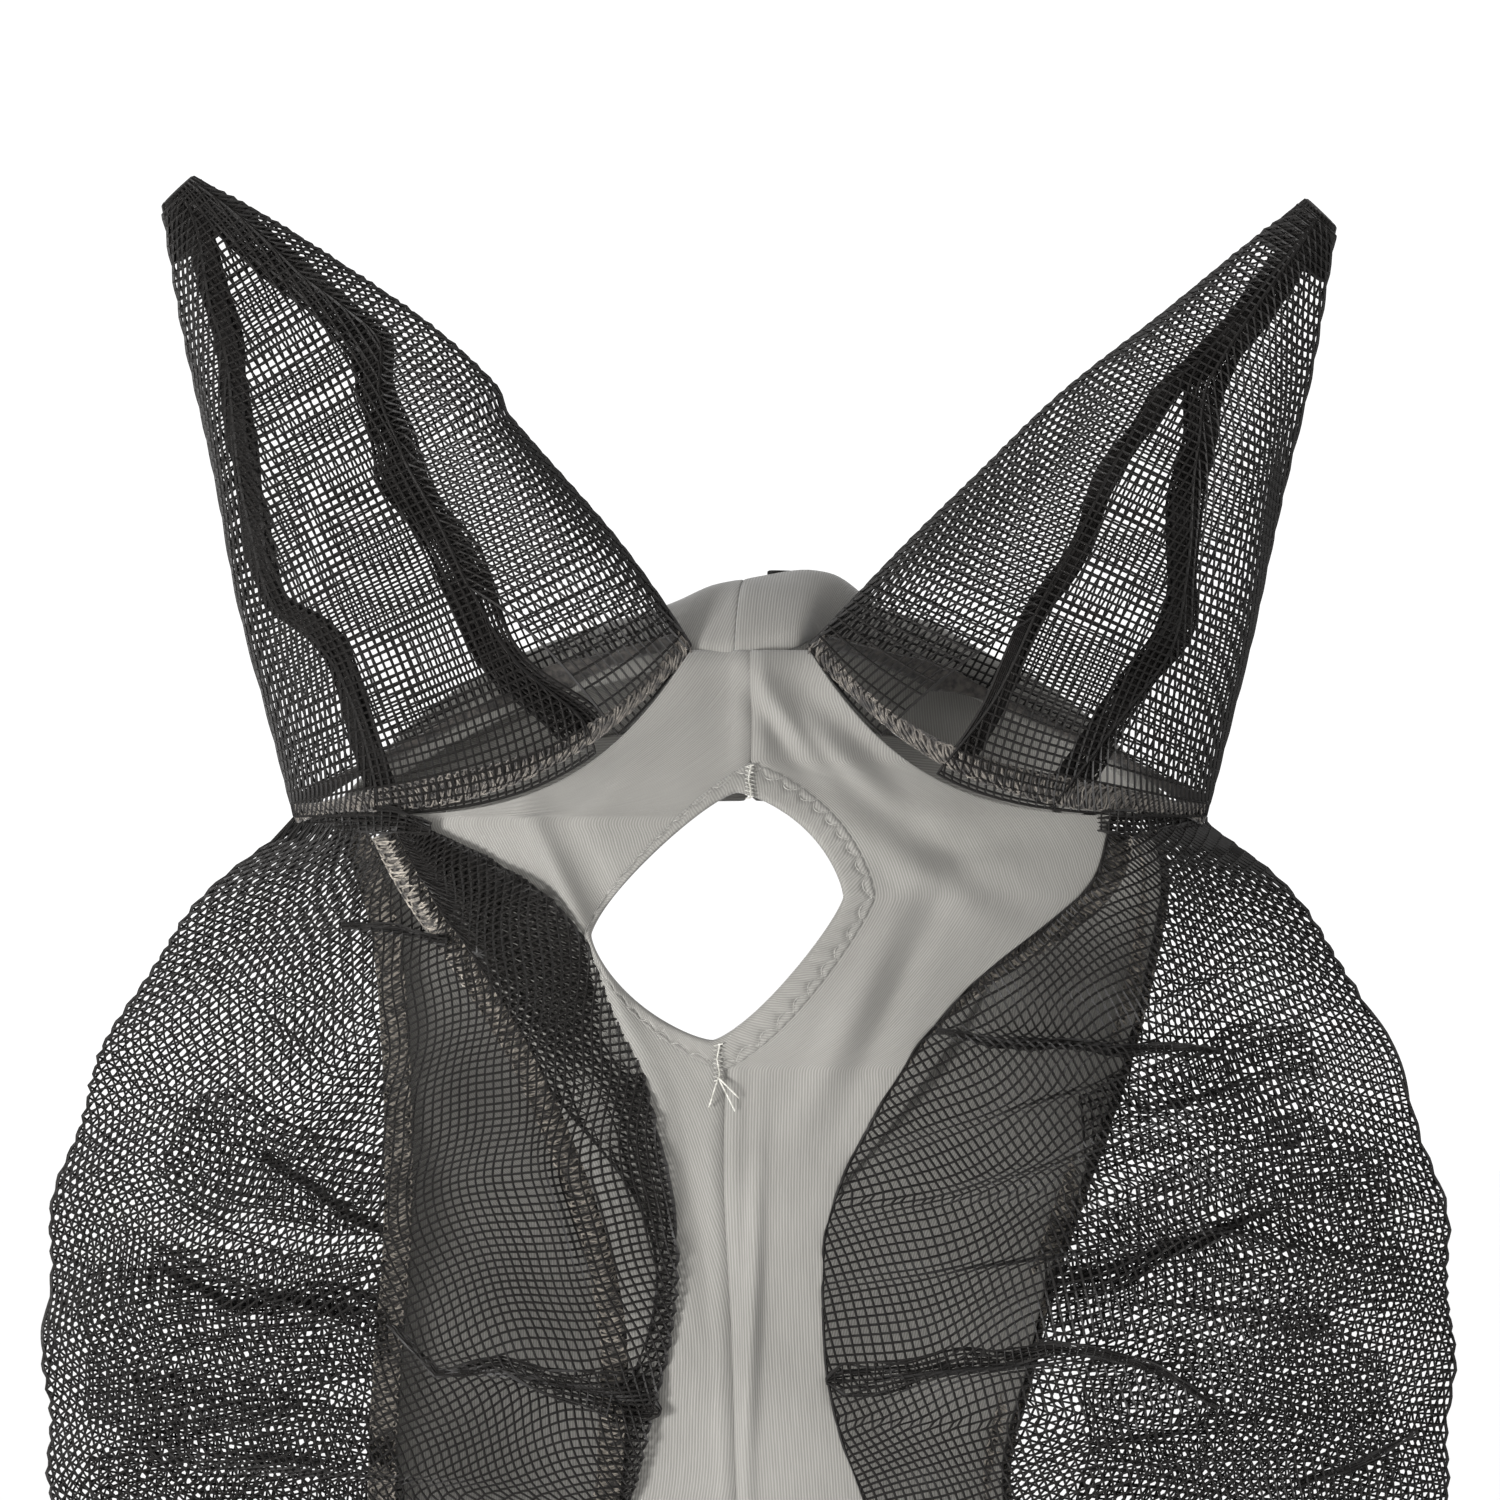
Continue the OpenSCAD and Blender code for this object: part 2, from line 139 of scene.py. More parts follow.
# %% Camera
VIEW_WIDTH, VIEW_DISTANCE, SHARP_PLANE_Y = 0.405, 4.0, -0.035
camera_data = bpy.data.cameras.new("camera")
camera_data.sensor_width = 36.0
camera_data.lens = 36.0 * VIEW_DISTANCE / VIEW_WIDTH
camera_data.clip_start, camera_data.clip_end = 0.1, 60.0
camera = bpy.data.objects.new("camera", camera_data)
camera.location = (0.0, SHARP_PLANE_Y - VIEW_DISTANCE, 0.135)
camera.rotation_euler = (math.radians(90), 0, 0)
bpy.context.scene.collection.objects.link(camera)
bpy.context.scene.camera = camera
print("lens", round(camera_data.lens, 1), "mm")

# %% Light
scene = bpy.context.scene
scene.view_settings.view_transform = "Standard"
scene.view_settings.exposure = 0.85
world = bpy.data.worlds.new("light tent")
scene.world = world
world.use_nodes = True
world.node_tree.nodes["Background"].inputs["Color"].default_value = (1.0, 1.0, 1.0, 1.0)
world.node_tree.nodes["Background"].inputs["Strength"].default_value = 0.62


def soft_lamp(name, place, aim, size, watts):
    data = bpy.data.lights.new(name, "AREA")
    data.size, data.energy = size, watts
    lamp = bpy.data.objects.new(name, data)
    lamp.location = place
    lamp.rotation_euler = (Vector(aim) - Vector(place)).to_track_quat("-Z", "Y").to_euler()
    bpy.context.scene.collection.objects.link(lamp)


soft_lamp("key lamp", (-0.95, -1.0, -0.2), (0, 0, 0.05), 0.35, 22)
soft_lamp("fill lamp", (1.4, -1.6, 0.2), (0, 0, 0.05), 0.8, 8)

# %% [markdown]
# ## Materials written as expressions
# A material is a small network of nodes. Writing it as arithmetic keeps it readable: a socket is
# wrapped in a class whose operators add the Math nodes, and one method adds any other node.


# %% A socket that does arithmetic
class Value:
    """A node's output, so that fibre * 0.3 + 0.1 builds the Math nodes it needs."""

    def __init__(self, finish, socket):
        self.finish, self.socket = finish, socket

    def _maths(self, operation, a, b):
        return self.finish.add("ShaderNodeMath", {"operation": operation}, {0: a, 1: b})

    def __add__(self, other):
        return self._maths("ADD", self, other)

    def __radd__(self, other):
        return self._maths("ADD", other, self)

    def __rsub__(self, other):
        return self._maths("SUBTRACT", other, self)

    def __mul__(self, other):
        return self._maths("MULTIPLY", self, other)


class Finish:
    """One material: its node tree, its shader, and a method that adds any node."""

    def __init__(self, name, **fixed):
        self.material = bpy.data.materials.new(name)
        self.material.use_nodes = True
        self.tree = self.material.node_tree
        self.shader = next(n for n in self.tree.nodes if n.type == "BSDF_PRINCIPLED")
        for socket, value in fixed.items():
            self.shader.inputs[socket.replace("_", " ")].default_value = value

    def add(self, kind, settings=None, inputs=None, out=0):
        node = self.tree.nodes.new(kind)
        for key, value in (settings or {}).items():
            setattr(node, key, value)
        for key, value in (inputs or {}).items():
            if isinstance(value, Value):
                self.tree.links.new(value.socket, node.inputs[key])
            else:
                node.inputs[key].default_value = value
        return Value(self, node.outputs[out])

    def place(self, uv=False):
        return self.add("ShaderNodeTexCoord", out="UV" if uv else "Object")

    def noise(self, where, scale, detail=3.0, rough=0.5):
        return self.add("ShaderNodeTexNoise", inputs={"Vector": where, "Scale": scale, "Detail": detail,
                                                      "Roughness": rough})

    def stripes(self, where, scale, twist):
        return self.add("ShaderNodeTexWave", {"wave_type": "BANDS", "bands_direction": "X",
                                              "wave_profile": "SIN"},
                        {"Vector": where, "Scale": scale, "Distortion": twist, "Detail": 1.0}, out="Fac")

    def blend(self, mask, a, b):
        return self.add("ShaderNodeMix", {"data_type": "RGBA"}, {0: mask, 6: a, 7: b}, out=2)

    def wear(self, **links):
        for socket, value in links.items():
            self.tree.links.new(value.socket, self.shader.inputs[socket.replace("_", " ")])

    def bump(self, height, strength, depth):
        self.wear(Normal=self.add("ShaderNodeBump", inputs={"Height": height, "Strength": strength,
                                                            "Distance": depth}))


# %% [markdown]
# ## The stretch fabric's finish
# The grey cloth is a warp knit: fine ribs 0.8 mm apart run up the panel, and it has a soft sheen. The
# ribs follow the cloth, so they are drawn in the panel's own map, which is in metres. Besides their bump,
# the grooves between the ribs are painted darker in the colour, as painted shade. A slow noise
# shifts the colour a little, as dyed cloth does.


# %% Stretch fabric
def stretch_finish(name, light, dark, lean=0.0):
    finish = Finish(name, Sheen_Weight=0.25, Sheen_Roughness=0.45, Roughness=0.72)
    finish.shader.inputs["Specular IOR Level"].default_value = 0.25
    flat = finish.place(uv=True)
    turned = finish.add("ShaderNodeMapping", inputs={"Vector": flat, "Rotation": (0, 0, lean)})
    rib = finish.stripes(turned, 400.0, twist=0.6)
    drawn = finish.add("ShaderNodeMapping", inputs={"Vector": turned, "Scale": (1400, 90, 1)})
    slub = finish.noise(drawn, 1.0)
    cloud = finish.noise(finish.place(), 22.0, 2.0)
    # the rib stripes paint shade into the grooves between the ribs; slub and cloud are the cloth's own colour
    # drift
    tone = rib * 0.42 + slub * 0.3 + cloud * 0.45
    finish.wear(Base_Color=finish.blend(tone, dark, light), Roughness=0.86 - rib * 0.2)
    finish.bump(rib * 0.8 + slub * 0.35, 0.35, 0.0002)
    return finish.material


# The rib colour is the cloth's own grey; the darker second colour is painted shade for the grooves between
# the ribs
RIB, RIB_GROOVE_SHADE, BIAS = (0.195, 0.189, 0.175, 1), (0.064, 0.062, 0.056, 1), 0.85
grey_fabric = stretch_finish("ribbed stretch fabric", RIB, RIB_GROOVE_SHADE)
binding_fabric = stretch_finish("binding cut on the bias", RIB, RIB_GROOVE_SHADE, BIAS)
print("finishes:", grey_fabric.name, "/", binding_fabric.name)

# %% [markdown]
# ## The open mesh's finish
# The mesh is knitted from black coated thread. Each thread is real geometry, so the finish only has
# to give a coated thread its faint shine and the dusty unevenness that a soft black has.

# %% Black mesh, overlock and sewing threads
mesh_finish = Finish("black coated thread", Roughness=0.5)
mesh_finish.shader.inputs["Specular IOR Level"].default_value = 0.22
dust = mesh_finish.noise(mesh_finish.place(), 900.0, 2.0)
mesh_finish.wear(Base_Color=mesh_finish.blend(dust, (0.003, 0.003, 0.003, 1), (0.012, 0.0105, 0.0095, 1)),
                 Roughness=0.4 + dust * 0.3)
mesh_finish.bump(dust, 0.2, 0.0001)
black_mesh = mesh_finish.material


def thread_finish(name, dark, light, scale):
    finish = Finish(name, Roughness=0.8, Sheen_Weight=0.2)
    fleck = finish.noise(finish.place(), scale, 3.0, 0.6)
    sharp = finish.add("ShaderNodeMapRange", inputs={0: fleck, 1: 0.38, 2: 0.62})
    finish.wear(Base_Color=finish.blend(sharp, dark, light), Roughness=0.9 - fleck * 0.2)
    finish.bump(finish.noise(finish.place(), scale * 4, 2.0), 0.5, 0.0002)
    return finish.material


overlock_thread = thread_finish("overlock thread", (0.018, 0.016, 0.013, 1), (0.25, 0.223, 0.188, 1), 420.0)
dark_overlock = thread_finish("overlock thread in shade", (0.012, 0.010, 0.009, 1),
                              (0.10, 0.088, 0.074, 1), 420.0)
seam_cloth = thread_finish("overlocked cloth edge", (0.008, 0.007, 0.0065, 1), (0.05, 0.043, 0.037, 1), 500.0)
grey_thread = thread_finish("grey sewing thread", (0.12, 0.117, 0.107, 1), (0.24, 0.233, 0.215, 1), 900.0)
pale_thread = thread_finish("bartack thread", (0.22, 0.215, 0.19, 1), (0.42, 0.41, 0.375, 1), 900.0)
label_tape = thread_finish("blank label tape", (0.008, 0.008, 0.008, 1), (0.02, 0.02, 0.02, 1), 1500.0)
elastic_tape = thread_finish("woven elastic", (0.02, 0.02, 0.02, 1), (0.07, 0.07, 0.07, 1), 1200.0)

# %% [markdown]
# ## Cloth from a grid
# Every cloth here starts as a flat grid, like the cloth on the cutting table, and each of its corners
# is then laid on the surface. A stretch panel gets a thickness from Solidify. The open mesh is cut so
# that one square of the grid is one hole of the mesh, and the Wireframe modifier turns the edges into
# threads. Corners that fall outside the seam line are drawn in to it and merged, as a seam does. For
# gathered mesh that is counted in holes.


# %% Grid helpers
def lay_grid(points, flat=None, closed=False, inside=None):
    """A grid of corners (rows x columns x 3, in mm) as a bmesh, with the flat cloth as its map."""
    rows, cols = points.shape[:2]
    bm = bmesh.new()
    bmesh.ops.create_grid(bm, x_segments=cols - 1, y_segments=rows - 1, size=0.5, calc_uvs=True)
    uv = bm.loops.layers.uv.verify()
    for vert in bm.verts:
        j, i = round((vert.co.x + 0.5) * (cols - 1)), round((vert.co.y + 0.5) * (rows - 1))
        vert.co = points[i, j] * 0.001
        vert.index = i * cols + j
    if flat is not None:
        for face in bm.faces:
            for loop in face.loops:
                i, j = divmod(loop.vert.index, cols)
                loop[uv].uv = flat[i, j] * 0.001
    if inside is not None:
        outside = [face for face in bm.faces if not any(inside.flat[vert.index] for vert in face.verts)]
        bmesh.ops.delete(bm, geom=outside, context="FACES")
    if closed:
        bmesh.ops.remove_doubles(bm, verts=bm.verts, dist=0.0002)
    return bm


def make_piece(name, bm, material, body, smooth=True):
    mesh = bpy.data.meshes.new(name)
    bm.to_mesh(mesh)
    bm.free()
    if smooth:
        mesh.polygons.foreach_set("use_smooth", [True] * len(mesh.polygons))
    mesh.materials.append(material)
    piece = bpy.data.objects.new(name, mesh)
    bpy.context.scene.collection.objects.link(piece)
    if body:
        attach(piece, body)
    return piece


def stretch_panel(name, points, flat, material, body, thick=0.9):
    piece = make_piece(name, lay_grid(points, flat), material, body)
    solid = piece.modifiers.new("cloth thickness", "SOLIDIFY")
    solid.thickness, solid.offset = thick * 0.001, 0.0
    soften = piece.modifiers.new("soft cloth", "SUBSURF")
    soften.levels = soften.render_levels = 1
    return piece


def thread_mesh(name, bm, body, thread):
    """Turns the edges of a laid grid into threads."""
    bmesh.ops.remove_doubles(bm, verts=bm.verts, dist=0.0004)
    piece = make_piece(name, bm, black_mesh, body, smooth=False)
    wire = piece.modifiers.new("threads", "WIREFRAME")
    wire.thickness, wire.use_even_offset, wire.use_boundary = thread * 0.001, False, True
    wire.use_replace = True
    return piece


def thread_line(name, paths, radius, material, body):
    """Sewing thread laid along one or more lines of points, in mm."""
    curve = bpy.data.curves.new(name, "CURVE")
    curve.dimensions, curve.bevel_depth, curve.bevel_resolution = "3D", radius * 0.001, 1
    curve.use_fill_caps = True
    for path in paths:
        spline = curve.splines.new("POLY")
        spline.points.add(len(path) - 1)
        spline.points.foreach_set("co", np.column_stack([np.array(path) * 0.001, np.ones(len(path))]).ravel())
    drawn = bpy.data.objects.new(name + "_line", curve)
    bpy.context.scene.collection.objects.link(drawn)
    bpy.context.view_layer.update()
    mesh = bpy.data.meshes.new_from_object(drawn.evaluated_get(bpy.context.evaluated_depsgraph_get()))
    bpy.data.objects.remove(drawn)
    mesh.name = name
    mesh.materials.clear()
    mesh.materials.append(material)
    piece = bpy.data.objects.new(name, mesh)
    bpy.context.scene.collection.objects.link(piece)
    if body:
        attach(piece, body)
    return piece


def lengths(points):
    """Running length along the second axis of a grid of points."""
    step = np.linalg.norm(np.diff(points, axis=1), axis=2)
    return np.concatenate([np.zeros((len(points), 1)), np.cumsum(step, axis=1)], axis=1)


def flat_map(points):
    """The cloth laid flat: across by running length from the first column, up by that of the middle one."""
    across = lengths(points)
    up = lengths(points.transpose(1, 0, 2)).T
    up = up[:, [up.shape[1] // 2]] + np.zeros_like(across)
    return np.stack([across, up], axis=2)


def cloth_area(points):
    """Area of a grid of points, in square metres."""
    a, b = points[1:, 1:] - points[:-1, :-1], points[1:, :-1] - points[:-1, 1:]
    return float(np.linalg.norm(np.cross(a, b), axis=2).sum() / 2) * 1e-6


def say_cut(piece, width, length, area):
    print(piece.name, "cut from", round(width * 1000), "x", round(length * 1000), "mm,",
          round(area * 1e4), "cm2")


def say_sheet(piece, points, with_pieces=()):
    """For cloth that is laid here without stretch: its cut size is measured along the laid cloth."""
    width = float(lengths(points)[:, -1].max()) * 0.001
    length = float(lengths(points.transpose(1, 0, 2))[:, -1].max()) * 0.001
    say_cut(piece, width, length, cloth_area(points))


def say_gathered(piece, inside):
    """For gathered mesh: its cut size is counted in holes, so it doesn't depend on how it was laid."""
    rows, cols = np.nonzero(inside)
    hole = PITCH * 0.001
    width, length = float(np.ptp(cols) + 1) * hole, float(np.ptp(rows) + 1) * hole
    say_cut(piece, width, length, float(inside.sum()) * hole ** 2)


# %% [markdown]
# ## The front panel
# Two halves meet in a seam down the middle of the face. Between the ears the cloth folds over the
# crown; lower down it narrows to a strip between the eye domes and widens again over the nose. The
# halves are cut out around the forelock hole. Along the centre seam each edge turns in, which leaves a
# narrow groove, and the pull of the hole throws soft folds across the forehead.

# %% Front panel shape
# Half width, half height and sideways shift of the cut edge and of the binding's two edges
HOLE_CUT, HOLE_OUTER, HOLE_INNER = (37.0, 39.6, 0.0), (38.6, 41.2, 0.0), (33.2, 33.0, -3.4)
PANEL_COLS = 42


def hole_ring(t, half_w, half_h, shift):
    """A point of the hole's rounded diamond, which follows the centre line and leans up to the right."""
    c, s = np.cos(t), np.sin(t)
    r = ((np.abs(c) / half_w) ** 1.35 + (np.abs(s) / half_h) ** 1.35) ** (-1 / 1.35)
    z = HOLE_Z + r * s + 5.0 * c
    return along(CENTRE_DRIFT, z) + shift + r * c, z


def hole_edge(side, z):
    """How far out the cut edge lies at height z on one side."""
    x, up = hole_ring(np.linspace(-math.pi / 2, math.pi / 2, 181) if side > 0
                      else np.linspace(1.5 * math.pi, math.pi / 2, 181), *HOLE_CUT)
    return side * np.interp(z, up, x)


def base_x(z):
    return 124 - 108 * max(0.0, (z - 117) / 46) ** (1 / 3.9)


def base_z(x):
    return 117 + 46 * max(0.0, (124 - x) / 108) ** 3.9


# Folds of the face cloth: each line from (x, z) to (x, z), the middle and reach of the fold along it, and
# its ridges and grooves as (height, offset, width) in mm
FACE_FOLDS = [((-57, 113), (-33, 62), 0.5, 0.6, [(3.2, 0, 3.0)]),
              ((-45, 108), (-20, 60), 0.5, 0.5, [(-1.6, 0, 3.5)]),
              ((3, 8), (1, -45), 0.4, 0.7, [(1.6, 1.5, 2.2)]),
              ((44, 92), (22, 44), 0.5, 0.6, [(1.7, 4, 4.5), (-1.2, -5, 4)]),
              ((4, 152), (16, 134), 0.5, 0.7, [(1.4, 0, 2.6), (-1.2, 5, 3.0)]),
              ((18, 140), (34, 124), 0.5, 0.7, [(1.3, 0, 3.2), (-1.1, -6, 4.0)]),
              ((-24, 138), (-46, 116), 0.5, 0.6, [(1.2, 0, 4.0), (-0.9, 8, 4.5)])]
# Bunches of small waves beside a line: middle and reach along it, height, wave length / 2 pi, and width
FACE_WAVES = [((30, 118), (62, 96), 0.5, 0.6, 1.5, 3.4, 9), ((-22, 40), (-14, -10), 0.5, 0.5, 1.0, 2.6, 7),
              ((40, 104), (78, 108), 0.4, 0.5, 1.0, 3.0, 10)]


def face_folds(x, z):
    """How far the face cloth stands in front of its smooth shape, in mm."""
    out = 1.3 * hill(z - 150, 16) * np.sin(x / 4.2 + 0.8) * hill(x - 4, 16)
    out = out + 0.35 * np.sin(z / 9.0 + x / 14.0)
    for start, end, middle, reach, parts in FACE_FOLDS:
        d, t = from_line(x, z, start, end)
        for height, offset, width in parts:
            out = out + height * hill(d - offset, width) * hill(t - middle, reach)
    for start, end, middle, reach, height, wave, width in FACE_WAVES:
        d, t = from_line(x, z, start, end)
        out = out + height * np.sin(d / wave) * hill(d, width) * hill(t - middle, reach)
    return 1.6 * out


def face_half(side):
    rows = np.concatenate([np.linspace(NOSE_Z, -166, 14), np.linspace(-163, 48, 92),
                           np.linspace(49.5, 116.5, 46),
                           ARM_Z + (162.6 - ARM_Z) * np.linspace(0, 1, 26) ** 1.6, [162.6, 162.6, 162.6]])
    points = np.zeros((len(rows), PANEL_COLS, 3))
    for i, z in enumerate(rows):
        drift = along(CENTRE_DRIFT, z)
        in_hole = abs(z - HOLE_Z) < HOLE_CUT[1]
        inner = hole_edge(side, z) if in_hole else side * drift - 0.15
        if z < EYE_BOTTOM - 1:
            outer = along(HOOD, z, 1) * 0.9999
        elif z < 116:
            outer = along(FRONT_SEAM[side], z)
        else:
            outer = min(96.0, base_x(z)) - 0.6
        half_w = along(HOOD, z, 1)
        turn = np.linspace(math.asin(inner / half_w), math.asin(min(1.0, outer / half_w)), PANEL_COLS)
        x = half_w * np.sin(turn)
        real_x = side * x
        y = front_y(x, z) - face_folds(real_x, z) * min(1.0, (x[-1] - inner) / 20)
        off_seam = np.abs(real_x - drift)
        if not in_hole:
            y = y + 1.1 * np.exp(-off_seam / 0.8) - 0.5 * hill(off_seam - 3.2, 2.0)
        fold = max(0.0, (z - 157) / 5.6)
        over = max(0, i - len(rows) + 4)
        points[i, :, 0], points[i, :, 1] = real_x, y + 2.2 * fold ** 2 + 1.7 * over
        points[i, :, 2] = z - 0.5 * fold ** 3 - 0.9 * over ** 1.5
    return points if side > 0 else points[:, ::-1]


# %% Front panel
for side, word in ((1, "right"), (-1, "left")):
    points = face_half(side)
    face = stretch_panel("face_cloth_" + word, points, flat_map(points), grey_fabric, "hood")
    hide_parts("front_panel_" + word, "front_centre_seam_upper", "front_centre_seam_lower")
    say_sheet(face, points)

# %% [markdown]
# ## The nape band
# Behind the crown fold a band goes over the poll and down behind the ears to the cheeks. It bulges up
# where the horse's poll fills it. Its own centre seam is a double line, and it stops at the neck edge.


# %% Nape band
def ear_base_point(a):
    f = (1 + math.cos(a)) / 2
    mid = np.array([16 + 108 * f, -44 + 38 * f, 163 - 46 * f])
    s = math.sin(a)
    if s >= 0:
        return mid + np.array([0, 35 * s, 8 * s])
    k = min(1.0, -1.3 * s)
    return np.array([mid[0], mid[1] * (1 - k) + front_y(mid[0], base_z(mid[0])) * k, base_z(mid[0])])


def nape_point(p, q):
    if q < 0.15:
        fore = np.array([0.15, -46.5, 162.2]) * (1 - q / 0.15) + np.array([16, -43.4, 163]) * (q / 0.15)
    else:
        fore = ear_base_point(math.radians(180 - 165 * (q - 0.15) / 0.85))
    turn = math.radians(90 * q)
    aft = np.array([0.15 + 75.85 * math.sin(turn), 45 - 2 * q, 121.5 - 9 * (1 - math.cos(turn))])
    up = np.array([0.8 * math.sin(math.radians(70 * q)), 0.12, math.cos(math.radians(70 * q))])
    lift = 4 * p * (1 - p) * (3 + 35 * max(0.0, math.cos(turn)) ** 0.8)
    return fore * (1 - p) + aft * p + lift * up / np.linalg.norm(up)


def nape_half(side):
    rows = []
    for q in np.linspace(0, 0.985, 34):
        fore_edge = 0.02 + 0.08 * min(1, max(0, q - 0.1) / 0.4)
        rows.append([nape_point(p, q) for p in np.linspace(fore_edge, 1, 30)])
    points = np.array(rows)
    points[..., 0] = (points[..., 0] - 0.3) * side
    x, y, z = points[..., 0], points[..., 1], points[..., 2]
    near = hill(y + 5, 40)
    z = z + near * (1.5 * hill(x - 17, 9) - 9.5 / (1 + np.exp((x + 13) / 4.5))
                    - 6.0 / (1 + np.exp((30 - x) / 3.0)))
    z = z + 0.7 * np.sin(y / 6.0 + x / 9.0) - 1.0 * hill(np.abs(x + 2.5), 1.4) * near
    points[..., 0], points[..., 2] = x - (1.0 + 3.3 * np.clip(-y / 46, 0, 1)) * hill(x, 30), z
    turned_in = points[:, :1] + np.array([0, -0.5, -5.0])
    points = np.concatenate([turned_in, points], axis=1)
    return points if side > 0 else points[::-1]


for side, word in ((1, "right"), (-1, "left")):
    points = nape_half(side).transpose(1, 0, 2)
    nape = stretch_panel("nape_cloth_" + word, points, flat_map(points), grey_fabric, "hood")
    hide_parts("nape_panel_" + word, "nape_centre_seam", "nape_side_seam_" + word, "crown_seam")
    say_sheet(nape, points)

# %% [markdown]
# ## The jaw panel
# At the back the cloth closes the tube under the jaw and sends an arm up each cheek beside the neck
# opening. It is seen through the domes as a grey shape, so its edges matter.


# %% Jaw panel
def neck_x(z, w=0.0):
    """Half width of the neck opening at height z, w mm out from its edge."""
    return (NECK_HALF_W + w) * max(0.0, (z - THROAT_Z + w) / (108 - THROAT_Z + w)) ** 0.67


def jaw_half(side):
    rows = np.concatenate([np.linspace(NOSE_Z, -166, 12), np.linspace(-163, THROAT_Z - 3, 36),
                           THROAT_Z + (111 - THROAT_Z) * np.linspace(0, 1, 34) ** 1.5])
    points = np.zeros((len(rows), 22, 3))
    for i, z in enumerate(rows):
        inner = neck_x(z) if z > THROAT_Z else 0.0
        outer = along(HOOD, z, 1) * 0.9999 if z < EYE_BOTTOM - 1 else along(REAR_SEAM[side], z)
        half_w = along(HOOD, z, 1)
        x = half_w * np.sin(np.linspace(math.asin(inner / half_w), math.asin(outer / half_w), 20))
        y = rear_y(x, z) + 1.4 * np.sin(x / 11 + z / 17) - 1.2 * np.exp(-x / 0.9)
        y = y + 1.6 * np.sin(z / 8 - x / 15) * hill(x - 75, 30)
        # The inner edge is turned in: the halves meet back to back, and above the throat it is the hem
        x = np.concatenate([[x[0] + 0.4, x[0] + 0.4, x[0] + 1.0], x[1:]])
        y = np.concatenate([[y[0] - 3.0, y[0] - 0.9, y[0] + 0.4], y[1:]])
        points[i] = np.column_stack([side * x, y, np.full(22, z)])
    return points if side < 0 else points[:, ::-1]


for side, word in ((1, "right"), (-1, "left")):
    points = jaw_half(side)
    jaw = stretch_panel("jaw_cloth_" + word, points, flat_map(points), grey_fabric, "hood")
    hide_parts("jaw_panel_" + word, "jaw_centre_seam", "nose_side_seam_" + word)
    say_sheet(jaw, points)

# %% [markdown]
# ## The eye domes
# Each dome is one cut of open mesh, sewn to the face in front and to the jaw panel behind, and
# gathered by darts so that it stands clear of the eye. One square of the grid is one hole. The grid is
# turned by the cloth's grain, and its rows lie closer together near the darts. It is made as a front
# and a rear piece, which meet along its middle thread. On the left the cloth rolls over the face
# before it turns back to its seam, and shows there twice.

# %% Dome sections
# Spacing of the mesh's threads, and their nominal width: one layer, inside a gather, in a tuck, in the
# folds inside an ear and in its rolled tip. About half of a nominal width is left of a thread.
PITCH, THREAD, GATHER_THREAD, TUCK_THREAD, FOLD_THREAD, TIP_THREAD = 2.43, 0.98, 0.7, 0.95, 1.15, 1.5
# Darts and fold lines in the mesh: each from (x, z) to (x, z), its grip and its width
PINCHES = {1: [((18, -34), (112, -27), 1.35, 9.0), ((50, 59), (127, 54), 1.3, 6.0),
               ((24, 8), (130, 38), 0.9, 6.0), ((24, -8), (150, 8), 1.1, 4.0),
               ((110, 10), (176, -6), 1.1, 4.5), ((40, 30), (150, 62), 1.1, 4.0),
               ((60, -60), (170, -52), 1.0, 5.0), ((60, -95), (160, -110), 1.0, 5.0)],
           -1: [((-23, -40), (-90, -27), 1.35, 9.0), ((-110, 88), (-80, 84), 1.3, 5.0),
                ((-60, 40), (-40, -20), 0.7, 8.0), ((-92, -28), (-178, 8), 1.1, 4.5),
                ((-96, 4), (-170, 48), 1.1, 4.0), ((-96, 36), (-150, 78), 1.1, 4.0),
                ((-60, -62), (-170, -56), 1.0, 5.0), ((-60, -95), (-160, -112), 1.0, 5.0)]}
REAR_PINCHES = {1: [((80, -14), (150, 10), 1.4, 9.0), ((96, 30), (160, 52), 1.2, 6.0),
                    ((78, -60), (150, -48), 1.1, 7.0), ((84, -14), (178, 22), 1.1, 4.0),
                    ((84, -16), (176, -22), 1.1, 4.0), ((100, 60), (150, 84), 1.1, 4.0)],
                -1: [((-98, -21), (-150, -12), 1.4, 9.0), ((-134, 24), (-98, 0), 1.3, 6.0),
                     ((-98, -62), (-160, -58), 1.1, 7.0), ((-104, -20), (-182, -32), 1.1, 4.0),
                     ((-104, -16), (-178, 20), 1.1, 4.0), ((-98, 60), (-150, 72), 1.1, 4.0)]}


